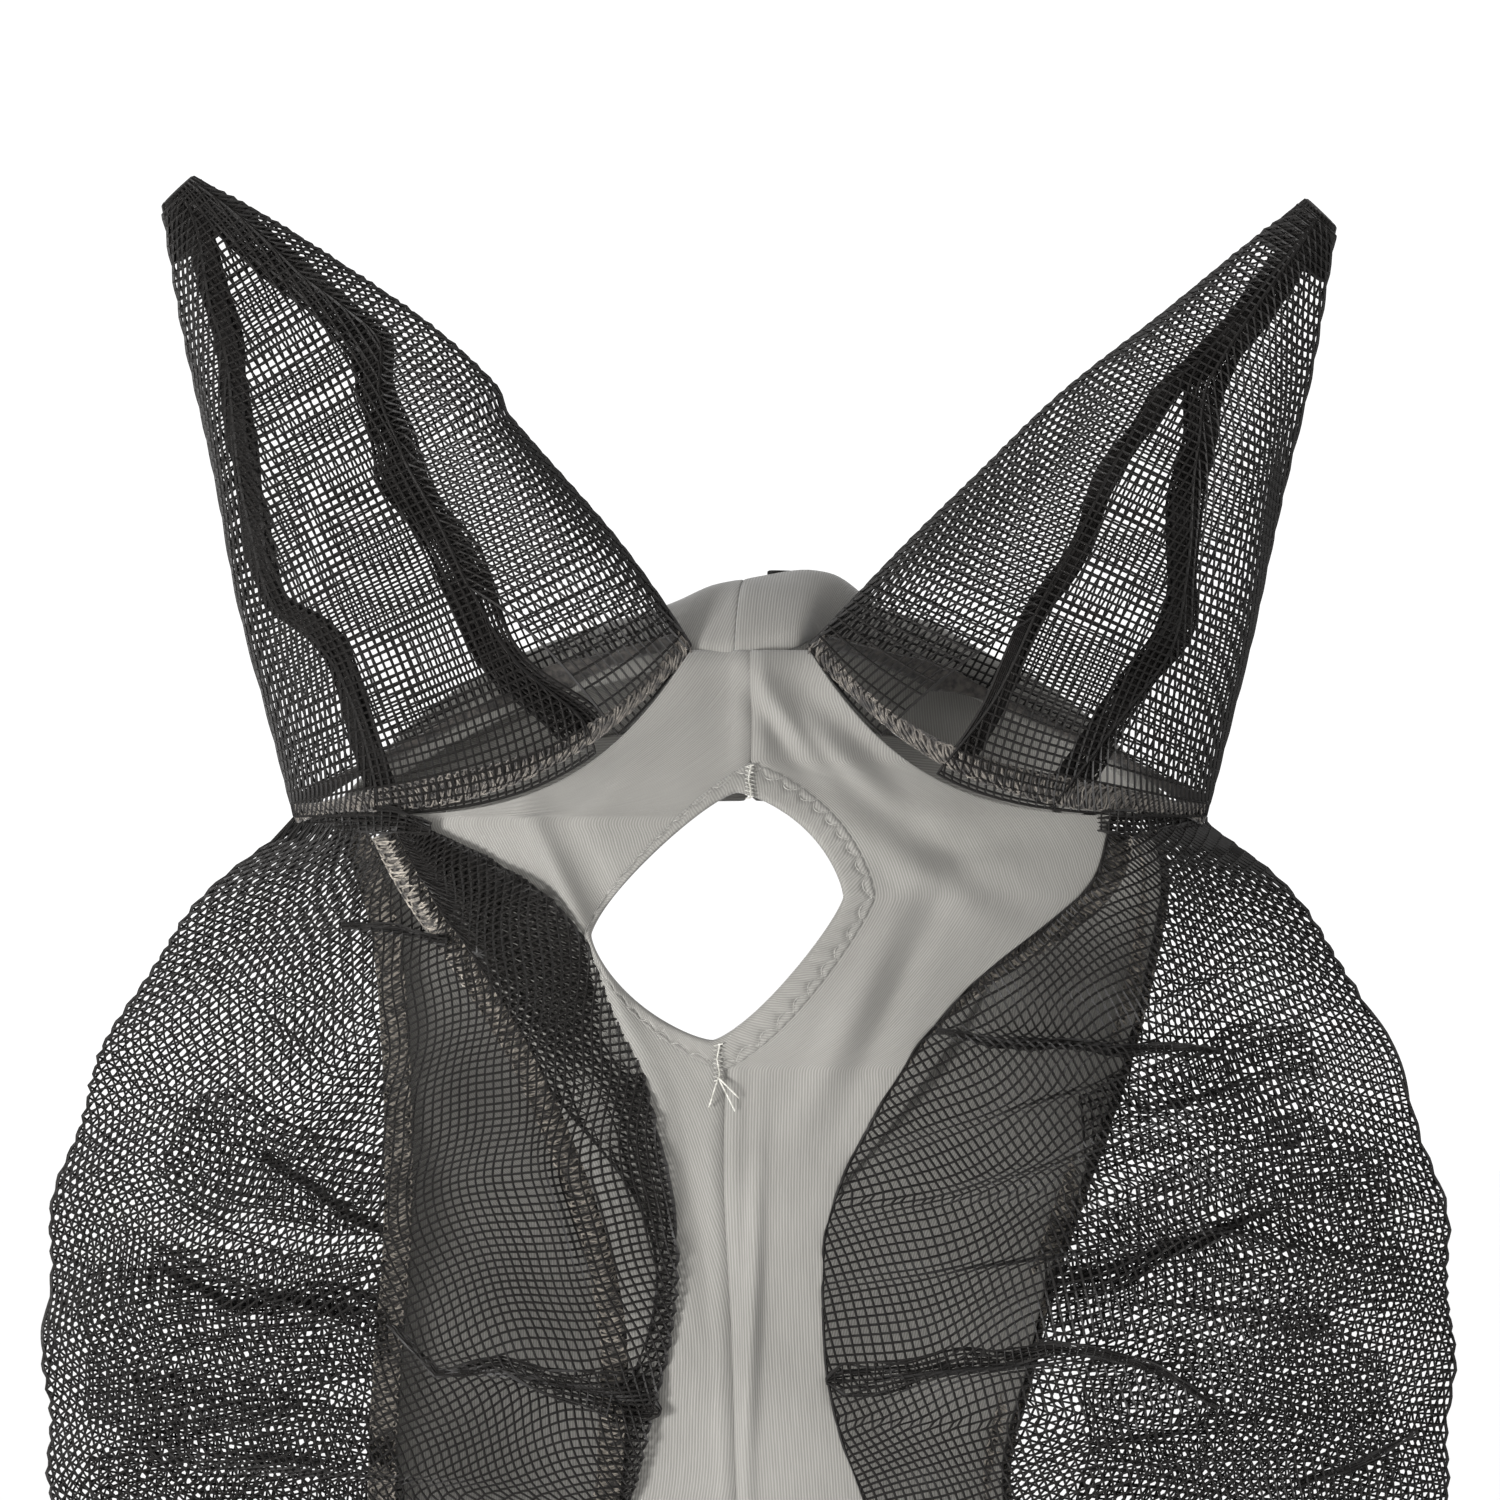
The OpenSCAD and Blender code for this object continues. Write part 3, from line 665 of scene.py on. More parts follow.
def dome_section(side, z):
    """One level section of a dome, from the front seam round to the rear seam, with x outwards."""
    seam, rear, wide = along(FRONT_SEAM[side], z), along(REAR_SEAM[side], z), along(DOME_WIDTH, z)
    wide = max(wide, seam + 1.5, rear + 1.5)
    roll = max(0.0, along(ROLL[side], z))
    puff = 8.0 * min(1.0, (wide - max(seam, rear)) / 60)
    flat = 0.4 + 0.35 * float(np.clip((z - 20) / 50, 0, 1))  # how sharply the outermost line is creased
    edge = seam - roll
    start = np.array([edge, front_y(edge, z) - (0.6 if roll < 1 else 4.0)])
    end = np.array([rear, rear_y(rear, z)])
    reach = (8 * wide - edge - rear) / 6
    ctl = [start, np.array([reach, start[1] - puff]), np.array([reach, end[1] + 3]), end]
    s = np.linspace(0, 1, 60)[:, None]
    arc = (ctl[0] * (1 - s) ** 3 + 3 * ctl[1] * s * (1 - s) ** 2
           + 3 * ctl[2] * s * s * (1 - s) + ctl[3] * s ** 3)
    apex = int(np.argmax(arc[:, 0]))
    for part, seam_x, seam_y, power in ((slice(0, apex), edge, start[1], 1.1),
                                        (slice(apex, None), rear, end[1], 1.6)):
        t = np.clip((arc[part, 1] - arc[apex, 1]) / (seam_y - arc[apex, 1]), 0, 1)
        creased = seam_x + (arc[apex, 0] - seam_x) * (1 - t) ** power
        arc[part, 0] = arc[part, 0] * (1 - flat) + creased * flat
    if roll >= 1:
        under_x = np.linspace(seam, edge + 1.2, 10)
        under = np.column_stack([under_x, front_y(under_x, z) - 0.9 - 1.3 * np.linspace(0, 1, 10) ** 2])
        nose = np.array([[edge, start[1] + 1.1]])
        arc = np.concatenate([under, nose, arc[1:]])
    return arc


def pinch(x, z, y, pinches, out):
    """Draws cloth in towards each dart or fold line, so that it overlaps itself there."""
    for a, b, grip, width in pinches:
        run = np.array(b, float) - np.array(a, float)
        run /= np.hypot(*run)
        d, t = from_line(x, z, a, b)
        hold = np.clip(1.15 - np.abs(t - 0.45) * 1.6, 0, 1) ** 1.5 * hill(d, width)
        move = -d * grip * 0.68 * hold
        x, z = x + move * run[1], z - move * run[0]
        y = y + out * (2.6 * hold * np.tanh(d / (0.4 * width)) + 1.5 * hold)
        y = y + out * 0.8 * np.sin(d / 2.3) * hill(d, 20) * hill(t - 0.4, 0.5)
    return x, z, y


GRAIN = {1: 19.0, -1: -24.0}  # how far each side's threads are turned, in degrees
REACH = 200  # how many mm the dome's table runs to each side of its outermost line
GATHERED = {1: 138.0, -1: 136.0}  # running height of the darts, where the cloth is drawn together most
BUNCH = 0.15  # the share by which it is drawn together there


def dome_table(side):
    """The dome's shape as a table: running height up the dome, and running width from its outermost line."""
    fine = np.linspace(EYE_BOTTOM, EYE_TOP, 240)
    height = np.cumsum(np.hypot(np.diff(fine, prepend=fine[0]), 0.55 * np.gradient(along(DOME_WIDTH, fine))))
    table, limits = np.zeros((len(fine), 2 * REACH + 1, 3)), np.zeros((len(fine), 2))
    for i, z in enumerate(fine):
        path = dome_section(side, z)
        run = running(path)
        apex = run[np.argmax(path[:, 0])]
        u = np.clip(apex + np.arange(-REACH, REACH + 1), 0, run[-1])
        table[i, :, :2] = pick(u, run, path) * (side, 1)
        table[i, :, 2] = z
        limits[i] = -apex, run[-1] - apex
    return height, table, limits


def dome_grid(side):
    """The mesh laid on the dome with its grain turned, and which of its corners are inside the seams."""
    height, table, limits = dome_table(side)
    half = 92
    i, j = np.meshgrid(np.arange(-half, half + 1) * PITCH, np.arange(-half, half + 1) * PITCH)
    turn = math.radians(GRAIN[side])
    u = i * math.cos(turn) - j * math.sin(turn)
    bunched = 1 - BUNCH * np.clip(1.25 * hill(height - GATHERED[side], 62), 0, 1)
    cloth = np.cumsum(np.gradient(height) / bunched)
    w = np.interp(cloth[-1] / 2 + i * math.sin(turn) + j * math.cos(turn), cloth, height,
                  left=-9, right=height[-1] + 9)
    u = u + 5.0 * np.sin(w / 38 + side) + 2.2 * np.sin(w / 17 + u / 45) + 0.8 * np.sin(w / 7.0 + u / 11)
    w = w + 5.5 * np.sin(u / 42 + 2 * side) + 2.4 * np.sin(u / 19 - w / 40) + 0.9 * np.sin(u / 8.0 - w / 13)
    level = np.interp(w, height, np.arange(len(height)))
    low, high = (np.interp(level, np.arange(len(height)), limits[:, k]) for k in (0, 1))
    inside = (w > 0) & (w < height[-1]) & (u > low) & (u < high)
    a, b = np.clip(level.astype(int), 0, len(height) - 2), np.clip((u + REACH).astype(int), 0, 2 * REACH - 1)
    fa, fb = (level - a)[..., None], np.clip(u + REACH - b, 0, 1)[..., None]
    points = (table[a, b] * (1 - fa) * (1 - fb) + table[a + 1, b] * fa * (1 - fb)
              + table[a, b + 1] * (1 - fa) * fb + table[a + 1, b + 1] * fa * fb)
    return points, inside, half


def sway(side, points):
    """The soft hang of the cloth: slow waves, then the darts and fold lines."""
    x, y, z = points[..., 0].copy(), points[..., 1].copy(), points[..., 2].copy()
    edge = np.minimum(np.abs(np.abs(x) - along(FRONT_SEAM[side], z)),
                      np.abs(np.abs(x) - along(REAR_SEAM[side], z)))
    free = np.clip(edge / 26, 0, 1) * np.clip((EYE_TOP - z) / 22, 0, 1) * np.clip((z - EYE_BOTTOM) / 22, 0, 1)
    front = y < 6
    out = np.where(front, -1.0, 1.0)
    wave = (2.2 * np.sin(z / 13 + np.abs(x) / 24 + side) + 1.5 * np.sin(z / 7.5 - np.abs(x) / 15 + 2 * side)
            + 1.0 * np.sin(np.abs(x) / 9 + z / 31))
    y = y + out * free * wave * np.clip(np.abs(y) / 40, 0, 1)
    ripple = 1.2 * np.sin(z / 6.5 + y / 12) + 1.0 * np.sin(z / 17)
    x = x + side * free * np.clip(1 - np.abs(y) / 50, 0, 1) * ripple
    z = z + free * 1.3 * np.sin(np.abs(x) / 19 + 1.5 * side)
    xf, zf, yf = pinch(x, z, y, PINCHES[side], -1.0)
    xr, zr, yr = pinch(x, z, y, REAR_PINCHES[side], 1.0)
    return np.stack([np.where(front, xf, xr), np.where(front, yf, yr), np.where(front, zf, zr)], axis=2)


# %% Eye domes
dome_pieces = {}
for side, word in ((1, "right"), (-1, "left")):
    raw, inside, half = dome_grid(side)
    laid = sway(side, raw)
    for part, cols, nodes in (("front", slice(0, half + 1), ("eye_mesh_" + word, "eye_front_dart_" + word)),
                              ("rear", slice(half, None), ("eye_mesh_" + word, "eye_rear_dart_" + word))):
        bm = lay_grid(laid[:, cols], inside=inside[:, cols])
        piece = thread_mesh(f"eye_dome_{word}_{part}", bm, "hood", THREAD)
        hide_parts(*nodes)
        dome_pieces[side, part] = (piece, inside[:, cols], [])
        print(piece.name, len(piece.data.polygons), "holes")

# %% [markdown]
# ## Gathers
# Where the dome is gathered, several layers of mesh lie over each other in a long thin wedge: dark and
# dense at the seam, and only a ridge at its far end. Each wedge is one strip of mesh folded to and fro.
# It is a separate strip that lies on the dome, whose own grid is too coarse to be folded so tightly.


# %% Gathers
def dome_y(side, x, z, rear):
    path = dome_section(side, z)
    apex = int(np.argmax(path[:, 0]))
    half = path[apex:][::-1] if rear else path[:apex + 1]
    order = np.argsort(half[:, 0])
    return float(np.interp(abs(x), half[order, 0], half[order, 1]))


def gather(name, side, route, folds, rear, nodes):
    """A wedge of folded mesh along a route of (x, z, half height), on the front or rear of a dome."""
    route = np.array(route, float)
    run = running(route[:, :2])
    at = np.arange(0, run[-1], 2.2)
    x, z, half = pick(at, run, route).T
    z = z + 0.8 * np.sin(at / 5.0 + side)
    dx, dz = np.gradient(x), np.gradient(z)
    size = np.hypot(dx, dz)
    phase = np.arange(4 * folds + 1) / 4
    swing = 1 - 2 * np.abs((phase / 2) % 1 * 2 - 1)
    rows = []
    for k in range(len(at)):
        sway_now = (swing * half[k] * (1 + 0.14 * np.sin(2.1 * phase + at[k] / 6))
                    + 0.3 * np.sin(at[k] / 3 + phase))
        px, pz = x[k] - dz[k] / size[k] * sway_now, z[k] + dx[k] / size[k] * sway_now
        out = 0.9 + 0.55 * phase + 0.7 * np.sin(at[k] / 4 + 3 * phase)
        base = dome_y(side, x[k], z[k], rear)
        rows.append(np.column_stack([px, base + (0.6 + 0.5 * out) * (1 if rear else -1), pz]))
    piece = thread_mesh(name, lay_grid(np.array(rows)), "hood", GATHER_THREAD)
    if nodes:
        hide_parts(*nodes)
    dome_pieces[side, "rear" if rear else "front"][2].append(piece)


GATHERS = [
    ("gather_right_front", 1, 3, False, ["eye_front_dart_right"],
     [(20.5, -34.5, 0.6), (25, -34.3, 4.2), (48, -30, 3.0), (80, -25.5, 1.5), (103, -28, 1.0),
      (127, -42, 0.5)]),
    ("gather_right_rear", 1, 4, True, ["eye_rear_dart_right"],
     [(80, -13.5, 3.8), (100, -10.5, 3.5), (116, -3, 2.0), (140, 7, 0.6)]),
    ("gather_right_brow", 1, 3, False, [],
     [(50, 59, 0.6), (81, 55.5, 1.0), (103, 54.8, 1.2), (127, 54, 0.5)]),
    ("gather_right_low", 1, 2, False, [],
     [(148, -64, 0.7), (165, -57, 0.9), (182, -50.5, 0.5)]),
    ("gather_left_front", -1, 3, False, ["eye_front_dart_left"],
     [(-24, -41, 0.8), (-30, -39.8, 6.2), (-42, -36.5, 4.6), (-66, -29.7, 1.7), (-84, -31, 0.9),
      (-97, -19, 0.6)]),
    ("gather_left_rear", -1, 4, True, ["eye_rear_dart_left"],
     [(-104, -20, 4.6), (-121, -16, 3.6), (-143, -18.4, 1.0), (-162, -5.4, 0.5)]),
    ("gather_left_cheek", -1, 2, True, [],
     [(-133.6, 24, 0.6), (-115, 10, 1.0), (-98.5, 0, 0.7)]),
    ("gather_right_top", 1, 4, False, [],
     [(88, 114.6, 1.2), (98, 115.4, 3.0), (114, 116.2, 3.2), (125, 115.6, 1.6)]),
    ("gather_left_top", -1, 4, False, [],
     [(-86, 114.6, 1.2), (-97, 115.4, 3.0), (-114, 116.2, 3.2), (-125, 115.6, 1.6)]),
    ("gather_left_brow", -1, 3, False, [],
     [(-110, 88, 0.7), (-81, 84.5, 0.8)]),
]
for name, side, folds, rear, nodes, route in GATHERS:
    gather(name, side, route, folds, rear, nodes)
print(len(GATHERS), "gathers folded")

# %% [markdown]
# ## Tucks
# Beside the darts, spare mesh lies folded under the dome, and the eye sees three layers there instead
# of two. Each tuck is a separate fan of mesh laid just in front of the dome's rear, with a ragged
# outline, so that only its density shows.


# %% Tucks
def tuck(name, side, start, end):
    """A fan of spare mesh under the dome's rear; start and end are (x, z, half height)."""
    (x0, z0, h0), (x1, z1, h1) = start, end
    length = math.hypot(x1 - x0, z1 - z0)
    along_it, across = np.array([x1 - x0, z1 - z0]) / length, np.array([z0 - z1, x1 - x0]) / length
    half = math.ceil(1.2 * max(h0, h1) / PITCH)
    points, inside = [], []
    for t in np.arange(0, length, PITCH) / length:
        row, kept = [], []
        for c in range(-half, half + 1):
            over = c * PITCH * (0.86 + 0.14 * t) + 1.2 * math.sin(9 * t + c / 3)
            run = t * length + 1.4 * math.sin(c / 2.6 + 5 * t)
            x, z = np.array([x0, z0]) + along_it * run + across * over
            front, rear = dome_y(side, x, z, False), dome_y(side, x, z, True)
            row.append((x, rear - min(5.0 + 2.0 * math.sin(c / 1.7 + 6 * t), 0.5 * (rear - front)), z))
            reach = 1 - 0.25 * (over / h1) ** 2 + 0.05 * math.sin(c / 1.9)
            kept.append(abs(over) < (h0 + (h1 - h0) * t) * (1 + 0.12 * math.sin(11 * t + c)) and t < reach
                        and abs(x) < along(DOME_WIDTH, z) - 4)
        points.append(row)
        inside.append(kept)
    piece = thread_mesh(name, lay_grid(np.array(points), inside=np.array(inside)), "hood", TUCK_THREAD)
    dome_pieces[side, "rear"][2].append(piece)


tuck("tuck_right_rear", 1, (82, -13, 12), (178, 12, 30))
tuck("tuck_right_rear_high", 1, (92, 30, 9), (156, 48, 16))
tuck("tuck_right_rear_low", 1, (92, -66, 30), (176, -72, 52))
tuck("tuck_left_rear", -1, (-100, -20, 12), (-182, -34, 30))
tuck("tuck_left_rear_high", -1, (-101, 10, 9), (-160, 30, 16))
tuck("tuck_left_rear_low", -1, (-96, -76, 30), (-176, -86, 46))

for piece, kept, gathers in dome_pieces.values():
    say_gathered(piece, kept)

# %% [markdown]
# ## Overlocked seams
# An overlock trims two cloth edges and wraps them in looping thread. The band shows through the mesh:
# a dark strip of cloth with pale flecks of thread crossing it. The strip is a narrow sheet, and the
# loops are one long thread that swings from edge to edge and curls back on itself at each stitch.


# %% Seam band helper
STITCH, LOOP_THREAD = 2.3, 0.3  # spacing of the overlock's stitches, and its thread's radius


def resample(path, step):
    run = running(path)
    return pick(np.arange(0, run[-1], step), run, path)


def unit_rows(v):
    return v / np.maximum(np.linalg.norm(v, axis=1, keepdims=True), 1e-9)


def overlock_band(name, path, across, out, width, body, seed, nodes, thread=overlock_thread):
    """A seam band along a path; across points over the band, and out is the side the loops lie on."""
    strip = np.stack([path - across * width / 2, path - across * width / 6, path + across * width / 6,
                      path + across * width / 2], axis=1)
    rng = np.random.default_rng(seed)
    strip[:, [0, 3]] += out[:, None] * rng.normal(0, 0.12, (len(path), 2, 1))
    cloth = make_piece(name + "_edge", lay_grid(strip), seam_cloth, body)
    solid = cloth.modifiers.new("folded edge", "SOLIDIFY")
    solid.thickness, solid.offset = 0.001, 0.0
    run = running(path)
    threads = []
    for phase, swing, curl in ((0.0, 0.5, 1.15), (2.1, 0.42, 0.8)):
        at = np.arange(0, run[-1], STITCH / 9)
        angle = 2 * math.pi * at / STITCH + phase
        jitter = np.interp(at, np.arange(0, run[-1] + STITCH, STITCH),
                           rng.normal(0, 0.5, int(run[-1] / STITCH) + 2))
        where = at + curl * STITCH * 0.5 * np.sin(2 * angle + 0.6) + 0.5 * jitter
        over = width * swing * np.cos(angle + 0.35 * jitter) + 0.35 * jitter
        centre, side_way, out_way = (pick(where, run, line) for line in (path, across, out))
        rise = 0.75 + 0.3 * np.sin(angle * 0.5 + phase)
        threads.append(centre + side_way * over[:, None] + out_way * rise[:, None])
    loops = thread_line(name + "_loops", threads, LOOP_THREAD, thread, body)
    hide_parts(*nodes)


# %% Seams of the eye domes
for side, word in ((1, "right"), (-1, "left")):
    for part, seams, surface, shift, out_y in (("front", FRONT_SEAM, front_y, 3.6, -1.0),
                                               ("rear", REAR_SEAM, rear_y, 3.4, -1.0)):
        z = np.linspace(EYE_BOTTOM + 16, EYE_TOP - 3, 130)
        x = along(seams[side], z)
        inside = 2.2 if part == "front" else -2.0
        if side > 0 and part == "front":  # below the brow this one is turned under the face
            shift = 3.6 - 7.4 / (1 + np.exp((z - 76) / 5))
        if side > 0 and part == "rear":  # and this one is turned under the jaw panel
            shift, inside = -1.6, 1.8
        path = resample(np.column_stack([side * (x + shift), surface(x + shift, z) + inside, z]), 1.5)
        tangent = unit_rows(np.gradient(path, axis=0))
        out = np.tile([0.0, out_y, 0.0], (len(path), 1))
        across = unit_rows(np.cross(tangent, out))
        overlock_band(f"eye_{part}_overlock_{word}", path, across, out, 7.6, "hood", 11 * side + 40,
                      [f"eye_{part}_seam_{word}"])
print("dome seams sewn")

# %% [markdown]
# ## The ear pockets
# An ear pocket is a cone of the same mesh, closed by two seams that run up its front and meet at the
# tip. The seam allowances are folded inside, three or four layers deep, and read as dark bands. The
# lowest part of the pocket is shaped as a blend between the hood's seam and the ear.

# %% Ear shape
EAR_FOOT, EAR_HEAD = 0.006, 0.985  # where the mesh of an ear starts and stops, as shares of its height
BULGE = {1: 0.0, -1: 9.0}
TIP_LEAN = {1: (4.0, 0.0, -1.5), -1: (4.5, 0.0, 4.5)}  # how far each tip leans away from the pattern
INNER_BAND = {1: [(0.0, 248), (0.1, 259), (0.22, 258), (0.35, 256), (0.5, 250), (0.6, 246), (0.68, 253),
                  (0.97, 264)],
              -1: [(0.0, 238), (0.05, 241), (0.12, 254), (0.2, 257), (0.33, 255), (0.46, 253), (0.55, 246),
                   (0.62, 228), (0.7, 231), (0.78, 235), (0.97, 222)]}
OUTER_BAND = {1: [(0.0, 281), (0.09, 292), (0.22, 304), (0.37, 298), (0.5, 284), (0.56, 278), (0.66, 266),
                  (0.97, 268)],
              -1: [(0.0, 304), (0.12, 303), (0.2, 306), (0.27, 313), (0.34, 326), (0.5, 324), (0.62, 314),
                   (0.72, 305), (0.83, 300), (0.97, 268)]}


def ear_point(side, a, v):
    """A point on an ear pocket: a goes round it in degrees, v from base to tip."""
    turn = math.radians(a)
    c, s = math.cos(turn), math.sin(turn)
    f, swell = (1 + c) / 2, 4 * v * (1 - v)
    fold = BULGE[side]
    inner = np.array([16 + 132 * v - (2 + 0.7 * fold) * swell, -44 + 47 * v,
                      163 + 124 * v + (3 + 0.7 * fold) * swell])
    outer = np.array([124 + 32 * v + 3 * swell, -6 + 9 * v, 117 + 162 * v])
    depth = 35 * (1 - v) ** 0.9 + 3
    flat_s = math.copysign(abs(s) ** 1.5, s)
    high = inner * (1 - f) + outer * f + np.array([0, depth * flat_s, 0]) + np.array(TIP_LEAN[side]) * v ** 2
    if side < 0:
        notch = min(1.0, max(0.0, (v - 0.43) / 0.035)) * max(0.0, 1 - v) ** 0.7
        high = high + np.array([-0.6, 0, 0.8]) * 4.5 * notch * (1 - f) ** 3
    k = min(1.0, v / 0.2)
    k = k * (2 - k)
    point = ear_base_point(turn) * (1 - k) + high * k
    wave = math.sin(v * math.pi) * (1.1 * math.sin(5 * turn + 9 * v + side)
                                    + 0.8 * math.sin(3 * turn - 14 * v))
    away = np.array([c * 0.8, s, 0.5 * abs(c)])
    point = point + away * wave * (0.6 + 0.4 * abs(s))
    point[0] *= side
    return point


def ear_grid(side, a0, a1, middle, half):
    """Corners of one ear cloth: rows go up the ear, columns are counted from its middle line."""
    v = np.linspace(0, 1, 200)
    spine = running([ear_point(side, middle, t) for t in v])
    rows = np.interp(np.arange(0, spine[-1], PITCH), spine, v)
    rows = np.concatenate([[EAR_FOOT], rows[(rows > EAR_FOOT) & (rows < EAR_HEAD)], [EAR_HEAD]])
    points = np.zeros((len(rows), 2 * half + 1, 3))
    for i, v in enumerate(rows):
        turns = np.linspace(a0(v), a1(v), 70)
        path = np.array([ear_point(side, a, v) for a in turns])
        run = running(path)
        centre = np.interp(middle, turns, run)
        u = np.clip(centre + PITCH * np.arange(-half, half + 1), 0, run[-1])
        points[i] = pick(u, run, path)
    return points


def inner_seam(side):
    return lambda v: float(along(INNER_BAND[side], v))


def outer_seam(side):
    return lambda v: float(along(OUTER_BAND[side], v))


def bend_with_ear(piece):
    """Bakes the piece's transform into its mesh; no bending is set up."""
    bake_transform(piece)


# %% Ear cloth
ear_pieces = {}
for side, word in ((1, "right"), (-1, "left")):
    inner, outer = inner_seam(side), outer_seam(side)
    wrap = ear_grid(side, lambda v: outer(v) - 360, inner, 60, 60)
    gore = ear_grid(side, inner, outer, 270, 24)
    for points, name, node in ((wrap, "ear_wrap_", "ear_back_mesh_"), (gore, "ear_gore_", "ear_front_mesh_")):
        piece = thread_mesh(name + word, lay_grid(points), None, THREAD)
        bend_with_ear(piece)
        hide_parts(node + word, "ear_flex_mesh_" + word)
        ear_pieces[name + word] = (piece, points)
        print(piece.name, len(piece.data.polygons), "holes")

# %% Folded seam allowances and the ear's tip
# How wide each folded allowance lies, in mm
FOLD_WIDTH = {"inner": {1: 4.5, -1: 10.5}, "outer": {1: 9.5, -1: 7.5}}

for side, word in ((1, "right"), (-1, "left")):
    folds = []
    for part, line in (("inner", inner_seam(side)), ("outer", outer_seam(side))):
        wide = FOLD_WIDTH[part][side]
        layers = []
        for layer in range(3):
            rows = []
            for v in np.linspace(0.03, 0.97, 130):
                a = line(v) + 1.8 * math.sin(23 * v + side)
                here, there = ear_point(side, a, v), ear_point(side, a + 2, v)
                rate = np.linalg.norm(there - here) / 2
                lean = (0.25 if layer == 1 else 0.0) * (1 if part == "inner" else -1)
                half_wide = wide / 2 * (1 - 0.15 * v) * (1 + 0.12 * math.sin(31 * v + layer))
                spread = min(34.0, half_wide / max(rate, 0.05))
                strip = np.array([ear_point(side, a + spread * (t + lean), v) for t in np.linspace(-1, 1, 9)])
                centre = ear_point(side, 90, v) * 0.5 + ear_point(side, 270, v) * 0.5
                inward = centre - strip.mean(axis=0)
                inward /= max(np.linalg.norm(inward), 1e-6)
                strip += inward * (0.9 + 0.9 * layer + 0.3 * math.sin(40 * v + 2 * layer))
                rows.append(strip)
            layers.append(np.array(rows))
        for layer, rows in enumerate(layers):
            piece = thread_mesh(f"ear_{part}_fold_{word}_{layer + 1}", lay_grid(rows), None, FOLD_THREAD)
            bend_with_ear(piece)
            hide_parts(f"ear_{part}_seam_{word}")
            folds.append(piece)
    roll = []
    for v in np.linspace(0.9, 0.992, 12):
        centre = (ear_point(side, 90, v) + ear_point(side, 270, v)) / 2
        roll.append([centre + (ear_point(side, a, v) - centre) * (0.9 - 0.35 * a / 1080)
                     + np.array([0, 0, 0.8]) for a in np.linspace(0, 1080, 76)])
    tip = thread_mesh("ear_tip_" + word, lay_grid(np.array(roll)), "ear_" + word, TIP_THREAD)
    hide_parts("ear_tip_fold_" + word)
    say_sheet(*ear_pieces["ear_wrap_" + word], with_pieces=folds)
    say_sheet(*ear_pieces["ear_gore_" + word])

# %% Overlocked seam round each ear's base
for side, word in ((1, "right"), (-1, "left")):
    loop = np.array([ear_point(side, a, 0.03) for a in np.linspace(0, 359, 260)])
    higher = np.array([ear_point(side, a, 0.06) for a in np.linspace(0, 359, 260)])
    path = resample(np.concatenate([loop, loop[:1]]), 1.5)
    here, there = np.linspace(0, 1, len(path)), np.linspace(0, 1, len(higher))
    high = pick(here, there, higher)
    across = unit_rows(high - path)
    tangent = unit_rows(np.gradient(path, axis=0))
    out = unit_rows(np.cross(across, tangent))
    centre = loop.mean(axis=0)
    facing = np.sign((out * (centre - path)).sum(axis=1, keepdims=True))
    out = out * facing
    overlock_band("ear_base_overlock_" + word, path + out * 1.2, across, -out, 8.0, "hood", 70 + side,
                  ["ear_base_seam_" + word], dark_overlock)

# %% [markdown]
# ## The forelock hole's binding
# A strip of the stretch fabric, cut on the bias, wraps the edge of the hole. A three-step zigzag sews
# it down and pinches its outer edge at every turn, so the strip puffs up between the stitches. The
# ring starts as a grid bent into a loop: one direction goes round the hole, the other round the strip.


# %% Binding
def on_face(x, z, lift=0.0):
    return np.array([x, front_y(x, z) - face_folds(x, z) - lift, z])


ZIGZAGS = 38  # turns of the zigzag round the hole


def binding_grid():
    """The folded strip: 0 to 1 across its top from the inner to the outer edge, then back underneath."""
    turns = np.linspace(0, 2 * math.pi, 8 * ZIGZAGS + 1)
    rows = []
    for t in turns:
        ox, oz = hole_ring(t, *HOLE_OUTER)
        ix, iz = hole_ring(t, *HOLE_INNER)
        gap = (ZIGZAGS * t / (2 * math.pi)) % 1 - 0.5
        ring = []
        for share in (0, 0.04, 0.12, 0.22, 0.34, 0.44, 0.53, 0.61, 0.69, 0.77, 0.84, 0.9, 0.95, 0.985, 1.0):
            x, z = ix + (ox - ix) * share, iz + (oz - iz) * share
            puff = 1.5 * (1 - (2 * share - 1) ** 6) + 0.3
            bow = share - (0.66 + 0.9 * gap ** 2)
            puff = puff - 0.85 * math.exp(-(bow / 0.075) ** 2) - 0.35 * math.exp(-(gap / 0.12) ** 2) * share
            puff = puff + 0.35 * math.exp(-((share - 0.93) / 0.05) ** 2)
            ring.append(on_face(x, z, puff - 0.5))
        for k in range(1, 7):
            share = 1 - k / 7
            ring.append(on_face(ix + (ox - ix) * share, iz + (oz - iz) * share, -1.4))
        ring.append(ring[0])
        rows.append(ring)
    return np.array(rows)


grid = binding_grid()
bm = lay_grid(grid, flat_map(grid), closed=True)
bmesh.ops.recalc_face_normals(bm, faces=bm.faces)
binding = make_piece("hole_binding", bm, binding_fabric, "hood")
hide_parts("forelock_binding")

# %% Zigzag stitching and bartacks
path = []
for k in range(ZIGZAGS * 8 + 1):
    t = 2 * math.pi * k / (ZIGZAGS * 8)
    ox, oz = hole_ring(t, *HOLE_OUTER)
    ix, iz = hole_ring(t, *HOLE_INNER)
    share = 0.66 + 0.9 * ((k / 8) % 1 - 0.5) ** 2
    path.append(on_face(ix + (ox - ix) * share, iz + (oz - iz) * share, 0.55 + 0.1 * (k % 2)))
zigzag = thread_line("hole_zigzag_thread", [path], 0.17, grey_thread, "hood")
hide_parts("forelock_zigzag_stitch")


